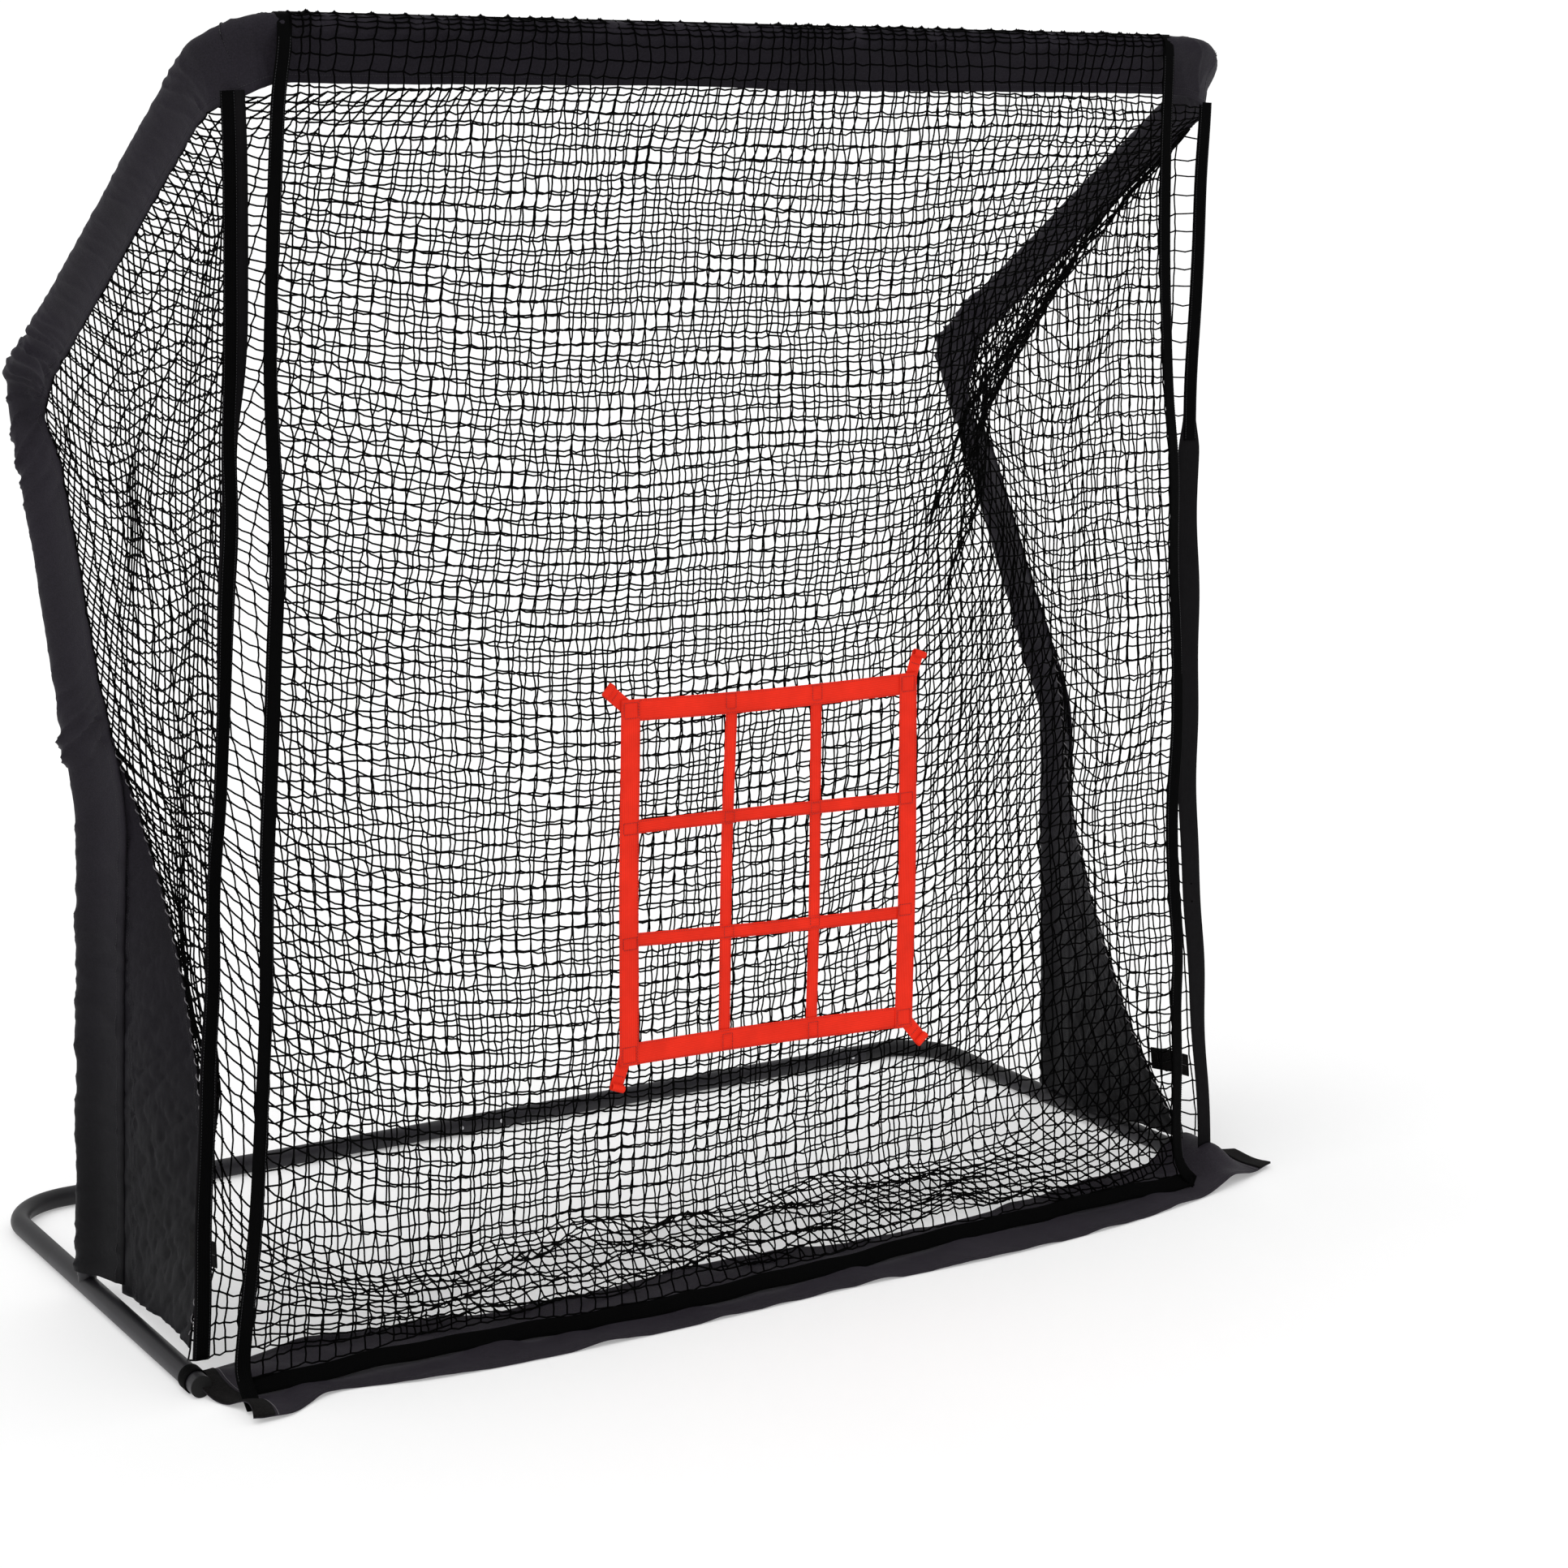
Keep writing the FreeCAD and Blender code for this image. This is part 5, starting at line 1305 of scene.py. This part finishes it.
def strike_tabs():
    """Corner tabs: each runs out from behind its corner and rolls back on itself at its end."""
    for place, (across_share, up_share, lean) in TAB_PLACES.items():
        angle = math.radians(lean)
        out = np.array([math.sin(angle), 0.0, math.cos(angle)])
        across = np.array([math.cos(angle), 0.0, -math.sin(angle)])
        root = zone_point(across_share, up_share, -0.0006)
        straight = root + out * np.linspace(-0.010, TAB_LENGTH, 16)[:, None]
        roll = np.radians(np.linspace(0, 300, 24))[:, None]
        curl = straight[-1] + out * TAB_CURL * np.sin(roll) - BACK * TAB_CURL * (1 - np.cos(roll))
        tab = webbing(f"zone_tab_{place}", np.concatenate([straight, curl[1:]]), across, 0.0255, 0.0018)
        dress(tab, RED_WEBBING, f"strike_tab_{place}", "red_webbing", f"strike_tab_{place}")
        row = np.array([root + out * 0.030 - across * 0.010, root + out * 0.030 + across * 0.010])
        name, body = f"zone_tab_stitches_{place}", f"strike_tab_{place}"
        sew(name, row - BACK * 0.0011, -BACK, RED_THREAD, body, "red_webbing", radius=0.0007)


# ---- carried-over CAD pieces -------------------------------------------------------------------


STEEL_NODES = (
    "side_leg", "base_corner", "rear_tube", "rear_coupler", "lower_post", "knee_tube", "upper_arm",
    "top_bar", "top_coupler",
)


def finish_hardware():
    """Steel, springs and plastic keep their CAD shapes."""
    for name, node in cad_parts.items():
        if name.startswith("snap_clip"):
            material = ZINC
        elif name == "leg_caps":
            material = PLASTIC
        elif name.startswith(STEEL_NODES):
            material = STEEL
        else:
            continue
        node.data.materials.clear()
        node.data.materials.append(material)

# ---- room

CAMERA_PLACE = Vector((-2.91, -4.77, 1.99))
CAMERA_YAW = 31.85
CAMERA_LENS = 71.96
CAMERA_SHIFT = -0.3986
SURROUND_LIGHT = 0.78
SURROUND_SEEN = 1.05
SUN_LIGHT = 1.1
SUN_BREADTH = 70
SUN_FROM = Vector((-0.75, -0.35, 1.35))
FLOOR_GLOW = 0.30


def camera():
    """Level camera from the front left, with its lens shifted down so that uprights stay parallel."""
    data = bpy.data.cameras.new("camera")
    data.lens = CAMERA_LENS
    data.sensor_width = 36.0
    data.clip_end = 60.0
    thing = bpy.data.objects.new("camera", data)
    thing.location = CAMERA_PLACE
    thing.rotation_euler = (math.radians(90), 0.0, -math.radians(CAMERA_YAW))
    bpy.context.scene.collection.objects.link(thing)
    bpy.context.scene.camera = thing
    shift_only_here(thing, data)


def shift_only_here(thing, data):
    """The lens shift holds at the main viewpoint. A camera moved anywhere else looks straight on."""
    driver = data.driver_add("shift_y").driver
    driver.type = "SCRIPTED"
    variable = driver.variables.new()
    variable.name = "height"
    variable.type = "TRANSFORMS"
    variable.targets[0].id = thing
    variable.targets[0].transform_type = "LOC_Z"
    variable.targets[0].transform_space = "WORLD_SPACE"
    driver.expression = f"{CAMERA_SHIFT} * (abs(height - {CAMERA_PLACE.z:.3f}) < 0.0005)"


def pale_floor():
    """Plain floor with a faint glow of its own, which keeps shadows light."""
    reach = 30
    corners = [(-reach, -reach, 0), (reach, -reach, 0), (reach, reach, 0), (-reach, reach, 0)]
    floor = mesh_object("floor", corners, [(0, 1, 2, 3)])
    floor.location.z = -0.0005
    w = Wiring("floor_paint")
    w.finish(
        Base_Color=w.ramp(w.noise(w.object_space(), 0.8), 0.3, 0.7, (0.72, 0.72, 0.72), (0.74, 0.74, 0.74)),
        Roughness=0.9,
        Specular_IOR_Level=0.1,
        Emission_Color=(1.0, 1.0, 1.0, 1.0),
        Emission_Strength=FLOOR_GLOW,
    )
    floor.data.materials.append(w.material)


def white_surround():
    """White on every side, a little stronger where the camera looks straight at it."""
    world = bpy.data.worlds.new("surround")
    bpy.context.scene.world = world
    world.use_nodes = True
    tree = world.node_tree
    background = tree.nodes["Background"]
    background.inputs["Color"].default_value = (1.0, 1.0, 1.0, 1.0)
    seen = tree.nodes.new("ShaderNodeLightPath").outputs["Is Camera Ray"]
    strength = tree.nodes.new("ShaderNodeMapRange")
    strength.inputs["To Min"].default_value = SURROUND_LIGHT
    strength.inputs["To Max"].default_value = SURROUND_SEEN
    tree.links.new(seen, strength.inputs["Value"])
    tree.links.new(strength.outputs[0], background.inputs["Strength"])


def soft_sun():
    """One broad soft light from the upper left."""
    light = bpy.data.lights.new("soft_sun", "SUN")
    light.energy = SUN_LIGHT
    light.angle = math.radians(SUN_BREADTH)
    lamp = bpy.data.objects.new("soft_sun", light)
    lamp.rotation_euler = SUN_FROM.to_track_quat("Z", "Y").to_euler()
    bpy.context.scene.collection.objects.link(lamp)


sleeve_edges = arm_sleeves()
top_sleeve_edge = top_sleeve()
gussets(sleeve_edges)
net_pieces("front_net", front_nodes(), "front_panel", "front_net")
net_pieces("back_net", back_nodes(sleeve_edges, top_sleeve_edge), "frame", "back_net")
knee_seam(sleeve_edges["right"])
for net_side, sleeve_edge in sleeve_edges.items():
    side_net(net_side, sleeve_edge)
edge_straps()
leg_loops()
tie_tabs()
front_bindings()
skirt()
strike_zone()
finish_hardware()
camera()
pale_floor()
white_surround()
soft_sun()
bpy.context.scene.view_settings.view_transform = "Standard"
